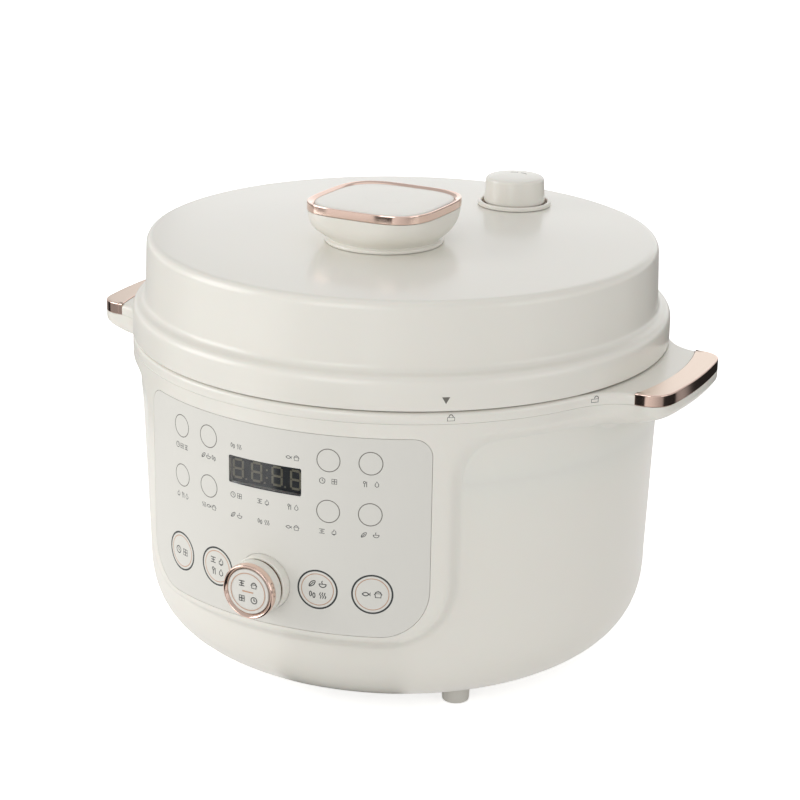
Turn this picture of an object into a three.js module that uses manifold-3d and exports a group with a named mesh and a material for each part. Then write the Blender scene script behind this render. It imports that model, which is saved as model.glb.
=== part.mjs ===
// Electric pressure cooker: a turn-to-lock lid on a round body with two ledge handles.
// Millimetres, +Z up. The origin is on the pot axis, level with the undersides of the feet.
// The control panel faces -Y and the handles lie along X.

import * as THREE from 'three';
import { mergeVertices } from 'three/addons/utils/BufferGeometryUtils.js';
import Module from 'manifold-3d';

const wasm = await Module();
wasm.setup();

const DEGREE = Math.PI / 180;
const GAP = 0.3;
const FACETS = { large: 36, medium: 20, small: 12 };

const BODY = {
  bottom: 6.2, top: 184.6, wall: 2.8, neckRadius: 151.6,
  flatRadius: 70, curveSpan: 78, curveRise: 57, curvePower: 2.8, curveSteps: 8,
};
const SHOULDER = { bottom: 169, top: 180 };
const RIM = { radius: 156, bottom: 184.9, top: 191, innerRadius: 151.3, floorTop: 187.2 };
const LIP = { inner: 120.5, outer: 123.5, top: 194.7 };
const EAR = { tip: 186, half: 46, bulge: 4, corner: 12, blendAngle: 27 * DEGREE, sideStart: 168 };
const TRIM = { bottom: 184.9, top: 191.5, innerRadius: 171, wall: 1.5, plate: 1.2 };

const PANEL = { radius: 156, half: 98, bottom: 55, corner: 36, wall: 3 };
const FILM = { half: 87.3, bottom: 63.5, top: 176.5, corner: 28, topCorner: 10, thickness: 0.6, recess: 0.9 };
const DISPLAY = { half: 22.3, bottom: 140.6, top: 155.9, corner: 1, depth: 2.6, moduleFront: 151.2 };
const BOARD = { half: 64, bottom: 72, top: 168, front: 134.6, thickness: 1.6 };

const DIAL = { height: 87.4, radius: 15.3, front: 173, collarRadius: 16, faceRadius: 12.7, bore: 11.6, shaft: 3 };

const LID = { skirtBottom: 191.9, flangeTop: 205, drumRadius: 148.4, drumStart: 214, top: 248.5, wall: 3 };
const KNOB = { y: -23, collarRadius: 34, half: 38.5, power: 3.6, trimBottom: 268.2, trimTop: 273, top: 273.3 };
const VALVE = { x: 26, y: 96, ringRadius: 22.2, capRadius: 18.5, capBottom: 250.1, capTop: 267 };
const FLOAT = { x: -55, y: 80 };

const DRUM = { radius: 119.2, wall: 1.2, floor: 24, flangeRadius: 139, flangeBottom: 195, flangeTop: 197 };
const TEETH = { count: 8, halfAngle: 9 * DEGREE, potOuter: 144.6, lidInner: 145.2 };
const POT = { radius: 112.5, wall: 2, bottom: 46.1, rim: 133, rimBottom: 197.4, rimTop: 198.9, corner: 18.5 };
const PRESSURE_LID = { disc: 211, thickness: 1.8, skirtRadius: 149.4, skirtBottom: 190 };
const FOOT = { ring: 104, angle: 47 * DEGREE, radius: 8.25 };
const INLET = { height: 45, half: 14.5, rise: 10.5, cavityHalf: 12, cavityRise: 8.3, face: 150.3 };
const CUP = { half: 28, near: 154, far: 173, bottom: 110, top: 156, wall: 1.8, corner: 6 };

const WHITE = { color: 0xeeeae3, roughness: 0.38, metalness: 0 };
const ROSE_GOLD = { color: 0xd9a48c, roughness: 0.18, metalness: 1 };
const FILM_GREY = { color: 0xe2dfd8, roughness: 0.5, metalness: 0 };
const SMOKE = { color: 0x3a3431, roughness: 0.2, metalness: 0 };
const STEEL = { color: 0xc6c6c4, roughness: 0.3, metalness: 1 };
const ALUMINIUM = { color: 0xb4b6b8, roughness: 0.45, metalness: 1 };
const NON_STICK = { color: 0x3b3a3a, roughness: 0.5, metalness: 0.2 };
const BLACK_PLASTIC = { color: 0x26262a, roughness: 0.5, metalness: 0 };
const GREEN_BOARD = { color: 0x2d5f3f, roughness: 0.6, metalness: 0 };
const SILICONE = { color: 0xdedad2, roughness: 0.7, metalness: 0 };
const RUBBER = { color: 0xd8d5cd, roughness: 0.8, metalness: 0 };
const BRASS = { color: 0xc9a95a, roughness: 0.35, metalness: 1 };
const CLEAR_GREY = { color: 0xcfcdc8, roughness: 0.25, metalness: 0 };

const cooker = new THREE.Group();

// ---------- solids ----------

function signedVolume(corners, triangles) {
  const [a, b, c] = [new THREE.Vector3(), new THREE.Vector3(), new THREE.Vector3()];
  let total = 0;
  for (let i = 0; i < triangles.length; i += 3) {
    a.fromBufferAttribute(corners, triangles[i]);
    b.fromBufferAttribute(corners, triangles[i + 1]);
    c.fromBufferAttribute(corners, triangles[i + 2]);
    total += a.dot(b.cross(c));
  }
  return total;
}

function solid(geometry) {
  geometry.deleteAttribute('normal');
  geometry.deleteAttribute('uv');
  const merged = mergeVertices(geometry, 1e-3);
  const corners = merged.getAttribute('position');
  const index = merged.index.array;
  let triangles = [];
  for (let i = 0; i < index.length; i += 3) {
    const [a, b, c] = [index[i], index[i + 1], index[i + 2]];
    if (a !== b && b !== c && c !== a) triangles.push(a, b, c);
  }
  if (signedVolume(corners, triangles) < 0) triangles = triangles.reverse();
  const mesh = new wasm.Mesh({
    numProp: 3,
    vertProperties: new Float32Array(corners.array),
    triVerts: new Uint32Array(triangles),
  });
  return new wasm.Manifold(mesh);
}

function addPart(name, body, finish) {
  const { vertProperties, triVerts } = body.getMesh();
  const geometry = new THREE.BufferGeometry();
  geometry.setAttribute('position', new THREE.BufferAttribute(vertProperties, 3));
  geometry.setIndex(new THREE.BufferAttribute(triVerts, 1));
  geometry.computeVertexNormals();
  const mesh = new THREE.Mesh(geometry, new THREE.MeshStandardMaterial(finish));
  mesh.name = name;
  cooker.add(mesh);
}

function lathe(profile, facets) {
  const points = profile.map(([radius, height]) => new THREE.Vector2(radius, height));
  const open = profile[0][0] !== 0;
  if (open) points.push(points[0].clone());
  return new THREE.LatheGeometry(points, facets);
}

// A profile of [radius, height] pairs, turned about the vertical axis.
function revolve(profile, facets = FACETS.large) {
  return solid(lathe(profile, facets).rotateX(Math.PI / 2));
}

// A profile of [radius, distance in front of the pot axis] pairs, turned about the dial's axis.
function turnedForward(profile, facets = FACETS.medium) {
  return solid(lathe(profile, facets).rotateX(Math.PI).translate(0, 0, DIAL.height));
}

function cylinder(radius, low, high, facets = FACETS.large) {
  return revolve([[0, low], [radius, low], [radius, high], [0, high]], facets);
}

function post(x, y, radius, low, high, facets = FACETS.small) {
  return cylinder(radius, low, high, facets).translate([x, y, 0]);
}

function extrude(shape, depth) {
  return new THREE.ExtrudeGeometry(shape, { depth, bevelEnabled: false, curveSegments: 3 });
}

function upright(shape, low, high) {
  return solid(extrude(shape, high - low).translate(0, 0, low));
}

// The shape lies in X and Z and runs forward, from one distance in front of the axis to another.
function forward(shape, near, far) {
  return solid(extrude(shape, far - near).rotateX(Math.PI / 2).translate(0, -near, 0));
}

function box(x, y, z) {
  const size = [x, y, z].map(([low, high]) => high - low);
  const centre = [x, y, z].map(([low, high]) => (low + high) / 2);
  return solid(new THREE.BoxGeometry(...size).translate(...centre));
}

// A rectangle with one corner radius at its foot and another at its head.
function roundedPlate(half, bottom, top, footCorner, headCorner = footCorner) {
  const shape = new THREE.Shape();
  shape.moveTo(-half + footCorner, bottom);
  shape.lineTo(half - footCorner, bottom);
  shape.quadraticCurveTo(half, bottom, half, bottom + footCorner);
  shape.lineTo(half, top - headCorner);
  shape.quadraticCurveTo(half, top, half - headCorner, top);
  shape.lineTo(-half + headCorner, top);
  shape.quadraticCurveTo(-half, top, -half, top - headCorner);
  shape.lineTo(-half, bottom + footCorner);
  shape.quadraticCurveTo(-half, bottom, -half + footCorner, bottom);
  return shape;
}

function ringWedge(inner, outer, angle, halfAngle) {
  const shape = new THREE.Shape();
  shape.absarc(0, 0, outer, angle - halfAngle, angle + halfAngle, false);
  shape.absarc(0, 0, inner, angle + halfAngle, angle - halfAngle, true);
  return shape;
}

function ringOfTeeth(body, inner, outer, low, high) {
  let toothed = body;
  for (let i = 0; i < TEETH.count; i += 1) {
    const angle = (i * 2 * Math.PI) / TEETH.count;
    toothed = toothed.add(upright(ringWedge(inner, outer, angle, TEETH.halfAngle), low, high));
  }
  return toothed;
}

// ---------- rim, handles and body shell ----------

function bezier(from, control, to) {
  const ends = [from, control, to].map(([x, y]) => new THREE.Vector2(x, y));
  return new THREE.QuadraticBezierCurve(...ends).getPoints(4);
}

// One ear of the handles from above: a concave blend off the rim, a straight side and a bowed tip.
function earOutline(inset) {
  const half = EAR.half - inset;
  const tip = EAR.tip - inset;
  const shoulder = tip - EAR.bulge;
  const leave = [RIM.radius * Math.cos(EAR.blendAngle), -RIM.radius * Math.sin(EAR.blendAngle)];
  const climb = (-half - leave[1]) / Math.cos(EAR.blendAngle);
  const bend = [leave[0] + climb * Math.sin(EAR.blendAngle), -half];
  const bowed = (y) => tip - EAR.bulge * (y / half) ** 2;
  const cornerEnd = [bowed(EAR.corner - half), EAR.corner - half];
  const lower = [
    ...bezier(leave, bend, [EAR.sideStart, -half]),
    ...bezier([shoulder - EAR.corner, -half], [shoulder, -half], cornerEnd),
    new THREE.Vector2(bowed(half / 3), -half / 3),
  ];
  const upper = lower.map(({ x, y }) => new THREE.Vector2(x, -y)).reverse();
  return [...lower, ...upper];
}

function rimArc() {
  const points = [];
  const steps = 14;
  for (let i = 1; i < steps; i += 1) {
    const angle = EAR.blendAngle + ((Math.PI - 2 * EAR.blendAngle) * i) / steps;
    points.push(new THREE.Vector2(Math.cos(angle), Math.sin(angle)).multiplyScalar(RIM.radius));
  }
  return points;
}

function footprint(inset) {
  const rightHalf = [...earOutline(inset), ...rimArc()];
  const leftHalf = rightHalf.map(({ x, y }) => new THREE.Vector2(-x, -y));
  return new THREE.Shape([...rightHalf, ...leftHalf]);
}

function makeTopFrame() {
  const core = upright(footprint(TRIM.wall + GAP), RIM.bottom, TRIM.top - TRIM.plate - GAP);
  const visible = upright(footprint(0), RIM.bottom, RIM.top)
    .intersect(cylinder(TRIM.innerRadius - GAP, BODY.top, TRIM.top));
  const floor = revolve([
    [LIP.inner, RIM.bottom], [RIM.innerRadius + 1, RIM.bottom], [RIM.innerRadius + 1, RIM.floorTop],
    [LIP.outer, RIM.floorTop], [LIP.outer, LIP.top], [LIP.inner, LIP.top],
  ]);
  const frame = core.add(visible).subtract(cylinder(RIM.innerRadius, BODY.top, TRIM.top + 1)).add(floor);
  addPart('top_frame', frame, WHITE);
}

function makeHandleTrims() {
  const caps = upright(footprint(0), TRIM.bottom, TRIM.top)
    .subtract(cylinder(TRIM.innerRadius, BODY.bottom, TRIM.top + 1))
    .subtract(upright(footprint(TRIM.wall), BODY.bottom, TRIM.top - TRIM.plate));
  const reach = [0, EAR.tip + 1];
  const across = [-EAR.tip, EAR.tip];
  addPart('handle_trim_right', caps.intersect(box(reach, across, across)
    .translate([0, 0, TRIM.bottom])), ROSE_GOLD);
  addPart('handle_trim_left', caps.intersect(box(reach, across, across)
    .translate([-EAR.tip - 1, 0, TRIM.bottom])), ROSE_GOLD);
}

function shellProfile(inset, top) {
  const points = [[0, BODY.bottom + inset]];
  for (let i = 0; i <= BODY.curveSteps; i += 1) {
    const turn = (Math.PI / 2) * (i / BODY.curveSteps);
    const across = Math.sin(turn) ** (2 / BODY.curvePower);
    const down = Math.max(Math.cos(turn), 0) ** (2 / BODY.curvePower);
    const radius = BODY.flatRadius + (BODY.curveSpan - inset) * across;
    points.push([radius, BODY.bottom + BODY.curveRise - (BODY.curveRise - inset) * down]);
  }
  points.push([BODY.neckRadius - inset, SHOULDER.bottom], [RIM.radius - inset, SHOULDER.top]);
  points.push([RIM.radius - inset, top], [0, top]);
  return points;
}

function panelPlateau(inset, top) {
  const outline = roundedPlate(PANEL.half - inset, PANEL.bottom + inset, top, PANEL.corner, 1);
  return forward(outline, POT.radius, EAR.tip)
    .intersect(cylinder(PANEL.radius - inset, BODY.bottom, top));
}

// The scooped lower halves of the two ledge handles.
function lowerEars() {
  const scoop = revolve([
    [0, 152], [150, 164], [156, 170], [163, 170.4], [171, 171.6], [178, 173.7], [183, 176.8],
    [185.5, 180], [190, BODY.top], [0, BODY.top],
  ]);
  const reach = RIM.radius * Math.sin(EAR.blendAngle);
  return upright(footprint(0), BODY.bottom, BODY.top)
    .intersect(scoop)
    .intersect(box([-EAR.tip, EAR.tip], [-reach, reach], [BODY.bottom, BODY.top]));
}

function displayOpening(grow, near, far) {
  const outline = roundedPlate(
    DISPLAY.half + grow, DISPLAY.bottom - grow, DISPLAY.top + grow, DISPLAY.corner + grow,
  );
  return forward(outline, near, far);
}

function makeOuterBody() {
  const boss = turnedForward([[0, 148], [24, 148], [24, 155.5], [0, 155.5]]);
  const inletPad = box([-19, 19], [141, 148], [30, 60]);
  const cupRail = box([-20, 20], [146, CUP.near - 0.5], [138, 146]);
  const inside = revolve(shellProfile(BODY.wall, LID.top)).add(panelPlateau(PANEL.wall, LID.top));
  const filmRecess = forward(
    roundedPlate(FILM.half + GAP, FILM.bottom - GAP, FILM.top + GAP, FILM.corner, FILM.topCorner),
    POT.radius, EAR.tip,
  ).subtract(cylinder(PANEL.radius - FILM.recess, BODY.bottom, BODY.top));
  const dialPocket = turnedForward([[0, 154.2], [DIAL.collarRadius + GAP, 154.2],
    [DIAL.collarRadius + GAP, DIAL.front], [0, DIAL.front]]);
  const dialBore = turnedForward([[0, POT.radius], [DIAL.bore, POT.radius],
    [DIAL.bore, DIAL.front], [0, DIAL.front]]);
  const inletHole = box(
    [-INLET.half - GAP, INLET.half + GAP], [POT.radius, INLET.face],
    [INLET.height - INLET.rise - GAP, INLET.height + INLET.rise + GAP],
  );
  let shell = revolve(shellProfile(0, BODY.top)).add(panelPlateau(0, BODY.top)).add(lowerEars());
  shell = shell.subtract(inside).add(boss).add(inletPad).add(cupRail);
  shell = shell.subtract(filmRecess).subtract(displayOpening(GAP, POT.radius, EAR.tip));
  shell = shell.subtract(dialPocket).subtract(dialBore).subtract(inletHole);
  shell = shell.subtract(cylinder(60, 0, 20));
  for (const [x, y] of baseScrewPlaces()) shell = shell.subtract(post(x, y, 1.8, 0, 20));
  addPart('outer_body', shell, WHITE);
}

// ---------- base ----------

function baseScrewPlaces() {
  const ring = 64;
  return [45, 135, 225, 315].map((angle) => (
    [ring * Math.cos(angle * DEGREE), ring * Math.sin(angle * DEGREE)]
  ));
}

function makeBase() {
  let plate = cylinder(68, 4.2, BODY.bottom - GAP);
  const slot = roundedPlate(2, 24, 46, 2);
  for (let i = 0; i < 8; i += 1) {
    plate = plate.subtract(upright(slot, 0, 10).rotate([0, 0, i * 45]));
  }
  for (const [x, y] of baseScrewPlaces()) plate = plate.subtract(post(x, y, 1.8, 0, 10));
  addPart('base_plate', plate, WHITE);
  baseScrewPlaces().forEach(([x, y], i) => {
    const screw = revolve([[0, 2.4], [2.6, 2.4], [3.4, 3.9], [1.5, 3.9], [1.5, 8.8], [0, 8.8]], FACETS.small);
    addPart(`base_screw_${i + 1}`, screw.translate([x, y, 0]), STEEL);
  });
}

function makeFeet() {
  const rest = revolve(shellProfile(0, BODY.top)).translate([0, 0, -GAP]);
  const peg = revolve([[0, 0], [6.75, 0], [FOOT.radius, 1.5], [FOOT.radius, 20], [0, 20]], FACETS.small);
  const names = ['rear_right', 'rear_left', 'front_left', 'front_right'];
  names.forEach((name, i) => {
    const x = FOOT.ring * Math.sin(FOOT.angle) * (i === 0 || i === 3 ? 1 : -1);
    const y = FOOT.ring * Math.cos(FOOT.angle) * (i < 2 ? 1 : -1);
    addPart(`foot_${name}`, peg.translate([x, y, 0]).subtract(rest), RUBBER);
  });
}

function makeInlet() {
  const { height, half, rise, cavityHalf, cavityRise, face } = INLET;
  const around = (reach) => [height - reach, height + reach];
  const socket = box([-half, half], [124, 149], around(rise))
    .add(box([-18, 18], [148.3, face], around(14)))
    .subtract(box([-cavityHalf, cavityHalf], [131, face + 1], around(cavityRise)));
  const pins = [['line', -7, -2], ['neutral', 7, -2], ['earth', 0, 2]];
  let drilled = socket;
  for (const [name, x, lift] of pins) {
    const blade = (grow) => box(
      [x - 1 - grow, x + 1 + grow], [120, 145], [height + lift - 2 - grow, height + lift + 2 + grow],
    );
    drilled = drilled.subtract(blade(GAP));
    addPart(`inlet_pin_${name}`, blade(0), BRASS);
  }
  addPart('inlet_socket', drilled, BLACK_PLASTIC);
}

function makeWaterCup() {
  const outline = (inset) => {
    const shape = new THREE.Shape();
    const [left, right, near, far] = [-CUP.half + inset, CUP.half - inset, CUP.near + inset, CUP.far - inset];
    shape.moveTo(left, near);
    shape.lineTo(right, near);
    shape.lineTo(right, far - CUP.corner);
    shape.quadraticCurveTo(right, far, right - CUP.corner, far);
    shape.lineTo(left + CUP.corner, far);
    shape.quadraticCurveTo(left, far, left, far - CUP.corner);
    return shape;
  };
  const cup = upright(outline(0), CUP.bottom, CUP.top)
    .subtract(upright(outline(CUP.wall), CUP.bottom + CUP.wall, CUP.top + 1));
  addPart('water_collector', cup, CLEAR_GREY);
}

// ---------- panel and dial ----------

function makePanel() {
  const filmShell = cylinder(PANEL.radius + 0.1, FILM.bottom, FILM.top)
    .subtract(cylinder(PANEL.radius - FILM.thickness, FILM.bottom - 1, FILM.top + 1));
  const film = forward(
    roundedPlate(FILM.half, FILM.bottom, FILM.top, FILM.corner, FILM.topCorner), POT.radius, EAR.tip,
  ).intersect(filmShell)
    .subtract(displayOpening(GAP, POT.radius, EAR.tip))
    .subtract(turnedForward([[0, POT.radius], [DIAL.collarRadius + GAP, POT.radius],
      [DIAL.collarRadius + GAP, DIAL.front], [0, DIAL.front]]));
  addPart('control_film', film, FILM_GREY);

  const windowShell = cylinder(PANEL.radius + 0.1, FILM.bottom, FILM.top)
    .subtract(cylinder(PANEL.radius - DISPLAY.depth, FILM.bottom - 1, FILM.top + 1));
  addPart('display_window', displayOpening(0, POT.radius, EAR.tip).intersect(windowShell), SMOKE);

  const { half, bottom, top, front, thickness } = BOARD;
  addPart('control_board', box([-half, half], [-front, -front + thickness], [bottom, top]), GREEN_BOARD);
  addPart('display_module', box(
    [-DISPLAY.half + 0.8, DISPLAY.half - 0.8], [-DISPLAY.moduleFront, -front - GAP], [DISPLAY.bottom, DISPLAY.top],
  ), BLACK_PLASTIC);
}

function makeDial() {
  const backing = BOARD.front + GAP;
  const encoder = box([-7, 7], [-142.5, -backing], [DIAL.height - 7, DIAL.height + 7])
    .subtract(turnedForward([[0, 136], [DIAL.shaft + 0.4, 136], [DIAL.shaft + 0.4, 150], [0, 150]]));
  addPart('encoder_housing', encoder, BLACK_PLASTIC);
  addPart('encoder_shaft', turnedForward(
    [[0, 137], [DIAL.shaft, 137], [DIAL.shaft, 165], [0, 165]], FACETS.small,
  ), STEEL);
  addPart('knob_collar', turnedForward([
    [DIAL.bore, 154.5], [DIAL.collarRadius, 154.5], [DIAL.collarRadius, 160.2], [DIAL.collarRadius - 0.8, 161],
    [DIAL.bore, 161],
  ]), WHITE);
  const sleeve = DIAL.shaft + GAP;
  const ringInner = DIAL.faceRadius + GAP;
  const ringOuter = DIAL.radius + 0.3;
  addPart('knob_skirt', turnedForward([
    [0, 165.4], [sleeve, 165.4], [sleeve, 150], [6.5, 150], [6.5, 162.2],
    [DIAL.radius, 162.2], [DIAL.radius, 168.3], [0, 168.3],
  ]), WHITE);
  addPart('knob_ring', turnedForward([
    [ringInner, 168.6], [DIAL.radius, 168.6], [ringOuter, 169.5], [ringOuter, 171], [ringOuter - 0.8, 172.7],
    [ringOuter - 1.6, DIAL.front], [ringInner, 171.5],
  ]), ROSE_GOLD);
  addPart('knob_face', turnedForward([
    [0, 168.6], [DIAL.faceRadius, 168.6], [DIAL.faceRadius, 171.8], [DIAL.faceRadius - 0.4, 172.2], [0, 172.2],
  ]), WHITE);
}

// ---------- heating and pots ----------

function cornerArc(centre, height, radius, fromAngle, toAngle) {
  const points = [];
  const steps = 4;
  for (let i = 0; i <= steps; i += 1) {
    const angle = fromAngle + ((toAngle - fromAngle) * i) / steps;
    points.push([centre + radius * Math.cos(angle), height + radius * Math.sin(angle)]);
  }
  return points;
}

function makePots() {
  const { radius, wall, floor, flangeRadius, flangeBottom, flangeTop } = DRUM;
  const drum = revolve([
    [5, floor], [radius - 9, floor], [radius, floor + 9], [radius, flangeBottom],
    [flangeRadius, flangeBottom], [flangeRadius, flangeTop], [radius - wall, flangeTop],
    [radius - wall, floor + 9.6], [radius - 9.6, floor + wall], [5, floor + wall],
  ]);
  const toothed = ringOfTeeth(drum, flangeRadius - 1, TEETH.potOuter, flangeBottom, flangeTop);
  addPart('pot_support', toothed, STEEL);

  const bend = POT.radius - POT.corner;
  const height = POT.bottom + POT.corner;
  addPart('inner_pot', revolve([
    [0, POT.bottom],
    ...cornerArc(bend, height, POT.corner, -Math.PI / 2, 0),
    [POT.radius, POT.rimBottom], [POT.rim, POT.rimBottom], [POT.rim, POT.rimTop],
    [POT.radius - POT.wall, POT.rimTop],
    ...cornerArc(bend, height, POT.corner - POT.wall, 0, -Math.PI / 2),
    [0, POT.bottom + POT.wall],
  ]), NON_STICK);
}

function makeHeater() {
  let plate = revolve([
    [13.3, 34], [55, 34], [56, 29], [67, 29], [68, 34], [86, 34], [88, 36], [88, 42], [84, 45.7], [13.3, 45.7],
  ], FACETS.medium);
  for (const angle of [90, 210, 330]) {
    const [x, y] = [77 * Math.cos(angle * DEGREE), 77 * Math.sin(angle * DEGREE)];
    plate = plate.add(post(x, y, 5, DRUM.floor + DRUM.wall + GAP, 36, 10));
  }
  addPart('heating_plate', plate, ALUMINIUM);
  addPart('temperature_sensor', revolve([
    [0, 20], [4, 20], [4, 38], [11, 38], [12.2, 39], [12.2, 44.8], [11, 45.8], [0, 45.8],
  ], FACETS.small), ALUMINIUM);
  addPart('sensor_spring', sensorSpring(), STEEL);
  addPart('pressure_switch', post(0, 45, 13, 12, 23.6).add(box([-8, 8], [56, 66], [16, 20])), BLACK_PLASTIC);
  addPart('power_board', box([-42, 42], [-58, -14], [13, 14.6])
    .add(box([-30, -8], [-50, -28], [14, 22])).add(box([6, 28], [-48, -30], [14, 21])), GREEN_BOARD);
  addPart('thermal_cutout', box([-9, 9], [120, 123.5], [90, 104]), BLACK_PLASTIC);
}

function sensorSpring() {
  const [low, high, turns, radius, wire] = [26.3, 36.9, 3.5, 7.5, 0.75];
  class Helix extends THREE.Curve {
    getPoint(t) {
      const angle = t * turns * 2 * Math.PI;
      return new THREE.Vector3(radius * Math.cos(angle), radius * Math.sin(angle), low + (high - low) * t);
    }
  }
  const section = new THREE.Shape();
  section.absarc(0, 0, wire, 0, 2 * Math.PI, false);
  const path = { extrudePath: new Helix(), steps: 24, curveSegments: 4, bevelEnabled: false };
  return solid(new THREE.ExtrudeGeometry(section, path));
}

// ---------- lid ----------

function lidScrewPlaces() {
  const ring = 112;
  return [20, 140, 260].map((angle) => [ring * Math.cos(angle * DEGREE), ring * Math.sin(angle * DEGREE)]);
}

function makeLidCover() {
  const { skirtBottom, flangeTop, drumRadius, drumStart, top, wall } = LID;
  let cover = revolve([
    [RIM.radius - wall, skirtBottom], [RIM.radius, skirtBottom], [RIM.radius, flangeTop],
    [154.6, flangeTop + 3.4], [150.6, flangeTop + 5.4], [149.2, drumStart - 1.4], [drumRadius, drumStart + 2],
    [147.3, top - 6], [146.9, top - 3.1], [145.3, top - 0.9], [142.5, top],
    [0, top], [0, top - wall],
    [141, top - wall], [143.6, top - 5], [144, top - 8], [145, drumStart + 1],
    [149, flangeTop + 3], [RIM.radius - wall, flangeTop - 1.4],
  ]);
  cover = cover.subtract(post(0, KNOB.y, 6, top - wall - 1, top + 1));
  for (const [x, y] of lidScrewPlaces()) cover = cover.add(post(x, y, 5, 213.6, top - 1));
  for (const [x, y] of lidScrewPlaces()) cover = cover.subtract(post(x, y, 1.8, 213, 228));
  cover = cover.subtract(post(VALVE.x, VALVE.y, 7, top - 10, top + 10));
  addPart('lid_cover', cover, WHITE);
}

function makePressureLid() {
  const { disc, thickness, skirtRadius, skirtBottom } = PRESSURE_LID;
  const shell = revolve([
    [6, disc], [140, disc], [skirtRadius - thickness, disc - 7], [skirtRadius - thickness, skirtBottom],
    [skirtRadius, skirtBottom], [skirtRadius, disc - 6], [141, disc + thickness], [6, disc + thickness],
  ]);
  let lid = ringOfTeeth(shell, TEETH.lidInner, skirtRadius - 1, skirtBottom + 0.5, skirtBottom + 3);
  lid = lid.subtract(post(VALVE.x, VALVE.y, 6.2, 200, 220)).subtract(post(FLOAT.x, FLOAT.y, 4, 200, 220));
  for (const [x, y] of lidScrewPlaces()) lid = lid.subtract(post(x, y, 2, 200, 220));
  addPart('pressure_lid', lid, STEEL);

  const plate = revolve([
    [4, 203], [119.5, 203], [119.5, 209], [118.3, 209], [118.3, 204.2], [4, 204.2],
  ]);
  addPart('inner_lid_plate', plate.subtract(post(VALVE.x, VALVE.y, 6.2, 200, 206))
    .subtract(post(FLOAT.x, FLOAT.y, 4, 200, 206)), STEEL);
  addPart('plate_fastener', revolve([
    [0, 196], [9, 196], [9, 202.7], [3.6, 202.7], [3.6, 214], [0, 214],
  ], FACETS.small), STEEL);
  addPart('sealing_ring', revolve([
    [123, 199.3], [131.5, 199.3], [132.5, 202], [131.5, 207], [123, 207], [121.4, 203],
  ]), SILICONE);
  lidScrewPlaces().forEach(([x, y], i) => {
    const screw = revolve([
      [0, 207.6], [3, 207.6], [3.8, 210.7], [1.5, 210.7], [1.5, 226], [0, 226],
    ], FACETS.small);
    addPart(`lid_screw_${i + 1}`, screw.translate([x, y, 0]), STEEL);
  });
}

// ---------- lid knob ----------

function squircle(angle) {
  const sum = Math.abs(Math.cos(angle)) ** KNOB.power + Math.abs(Math.sin(angle)) ** KNOB.power;
  return sum ** (-1 / KNOB.power);
}

// Sections of [height, half width, squareness], joined in order; a ring also joins its last to its first.
function loft(sections, ring) {
  const sides = 36;
  const corners = [];
  const triangles = [];
  for (const [height, half, squareness] of sections) {
    for (let i = 0; i < sides; i += 1) {
      const angle = (i * 2 * Math.PI) / sides;
      const reach = half * (1 + squareness * (squircle(angle) - 1));
      corners.push(reach * Math.cos(angle), reach * Math.sin(angle), height);
    }
  }
  const joints = ring ? sections.length : sections.length - 1;
  for (let s = 0; s < joints; s += 1) {
    const [low, high] = [s * sides, ((s + 1) % sections.length) * sides];
    for (let i = 0; i < sides; i += 1) {
      const next = (i + 1) % sides;
      triangles.push(low + i, low + next, high + next, low + i, high + next, high + i);
    }
  }
  if (!ring) closeEnds(sections, sides, corners, triangles);
  const geometry = new THREE.BufferGeometry();
  geometry.setAttribute('position', new THREE.Float32BufferAttribute(corners, 3));
  geometry.setIndex(triangles);
  return solid(geometry);
}

function closeEnds(sections, sides, corners, triangles) {
  const last = sections.length - 1;
  const foot = corners.length / 3;
  corners.push(0, 0, sections[0][0], 0, 0, sections[last][0]);
  for (let i = 0; i < sides; i += 1) {
    const next = (i + 1) % sides;
    triangles.push(foot, next, i, foot + 1, last * sides + i, last * sides + next);
  }
}

function makeLidKnob() {
  const { collarRadius, half, trimBottom, trimTop, top } = KNOB;
  const set = (piece) => piece.translate([0, KNOB.y, 0]);
  const base = loft([
    [LID.top + GAP, collarRadius, 0], [LID.top + 2, collarRadius, 0], [LID.top + 2.6, 31.4, 0],
    [LID.top + 4.6, 33.8, 0.1], [LID.top + 7.5, 36.3, 0.5], [LID.top + 12, half - 0.7, 0.9],
    [trimBottom - GAP, half - 0.5, 1],
  ], false).subtract(post(0, 0, 3.2, LID.top - 1, LID.top + 15));
  addPart('knob_base', set(base), WHITE);
  addPart('knob_trim', set(loft([
    [trimBottom, half - 0.6, 1], [trimBottom + 0.8, half, 1], [trimTop - 0.8, half, 1], [trimTop, half - 0.8, 1],
    [trimTop, half - 2.1, 1], [trimBottom, half - 2.1, 1],
  ], true)), ROSE_GOLD);
  addPart('knob_plate', set(loft([
    [trimBottom, half - 2.5, 1], [trimTop - 0.5, half - 2.5, 1], [trimTop, half - 3.5, 1], [top, 12, 1],
  ], false)), FILM_GREY);
  const headTop = LID.top - LID.wall - GAP;
  addPart('knob_screw', set(revolve([
    [0, headTop - 3.7], [8, headTop - 3.7], [8, headTop], [2.8, headTop], [2.8, headTop + 17.8], [0, headTop + 17.8],
  ], FACETS.small)), STEEL);
}

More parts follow.
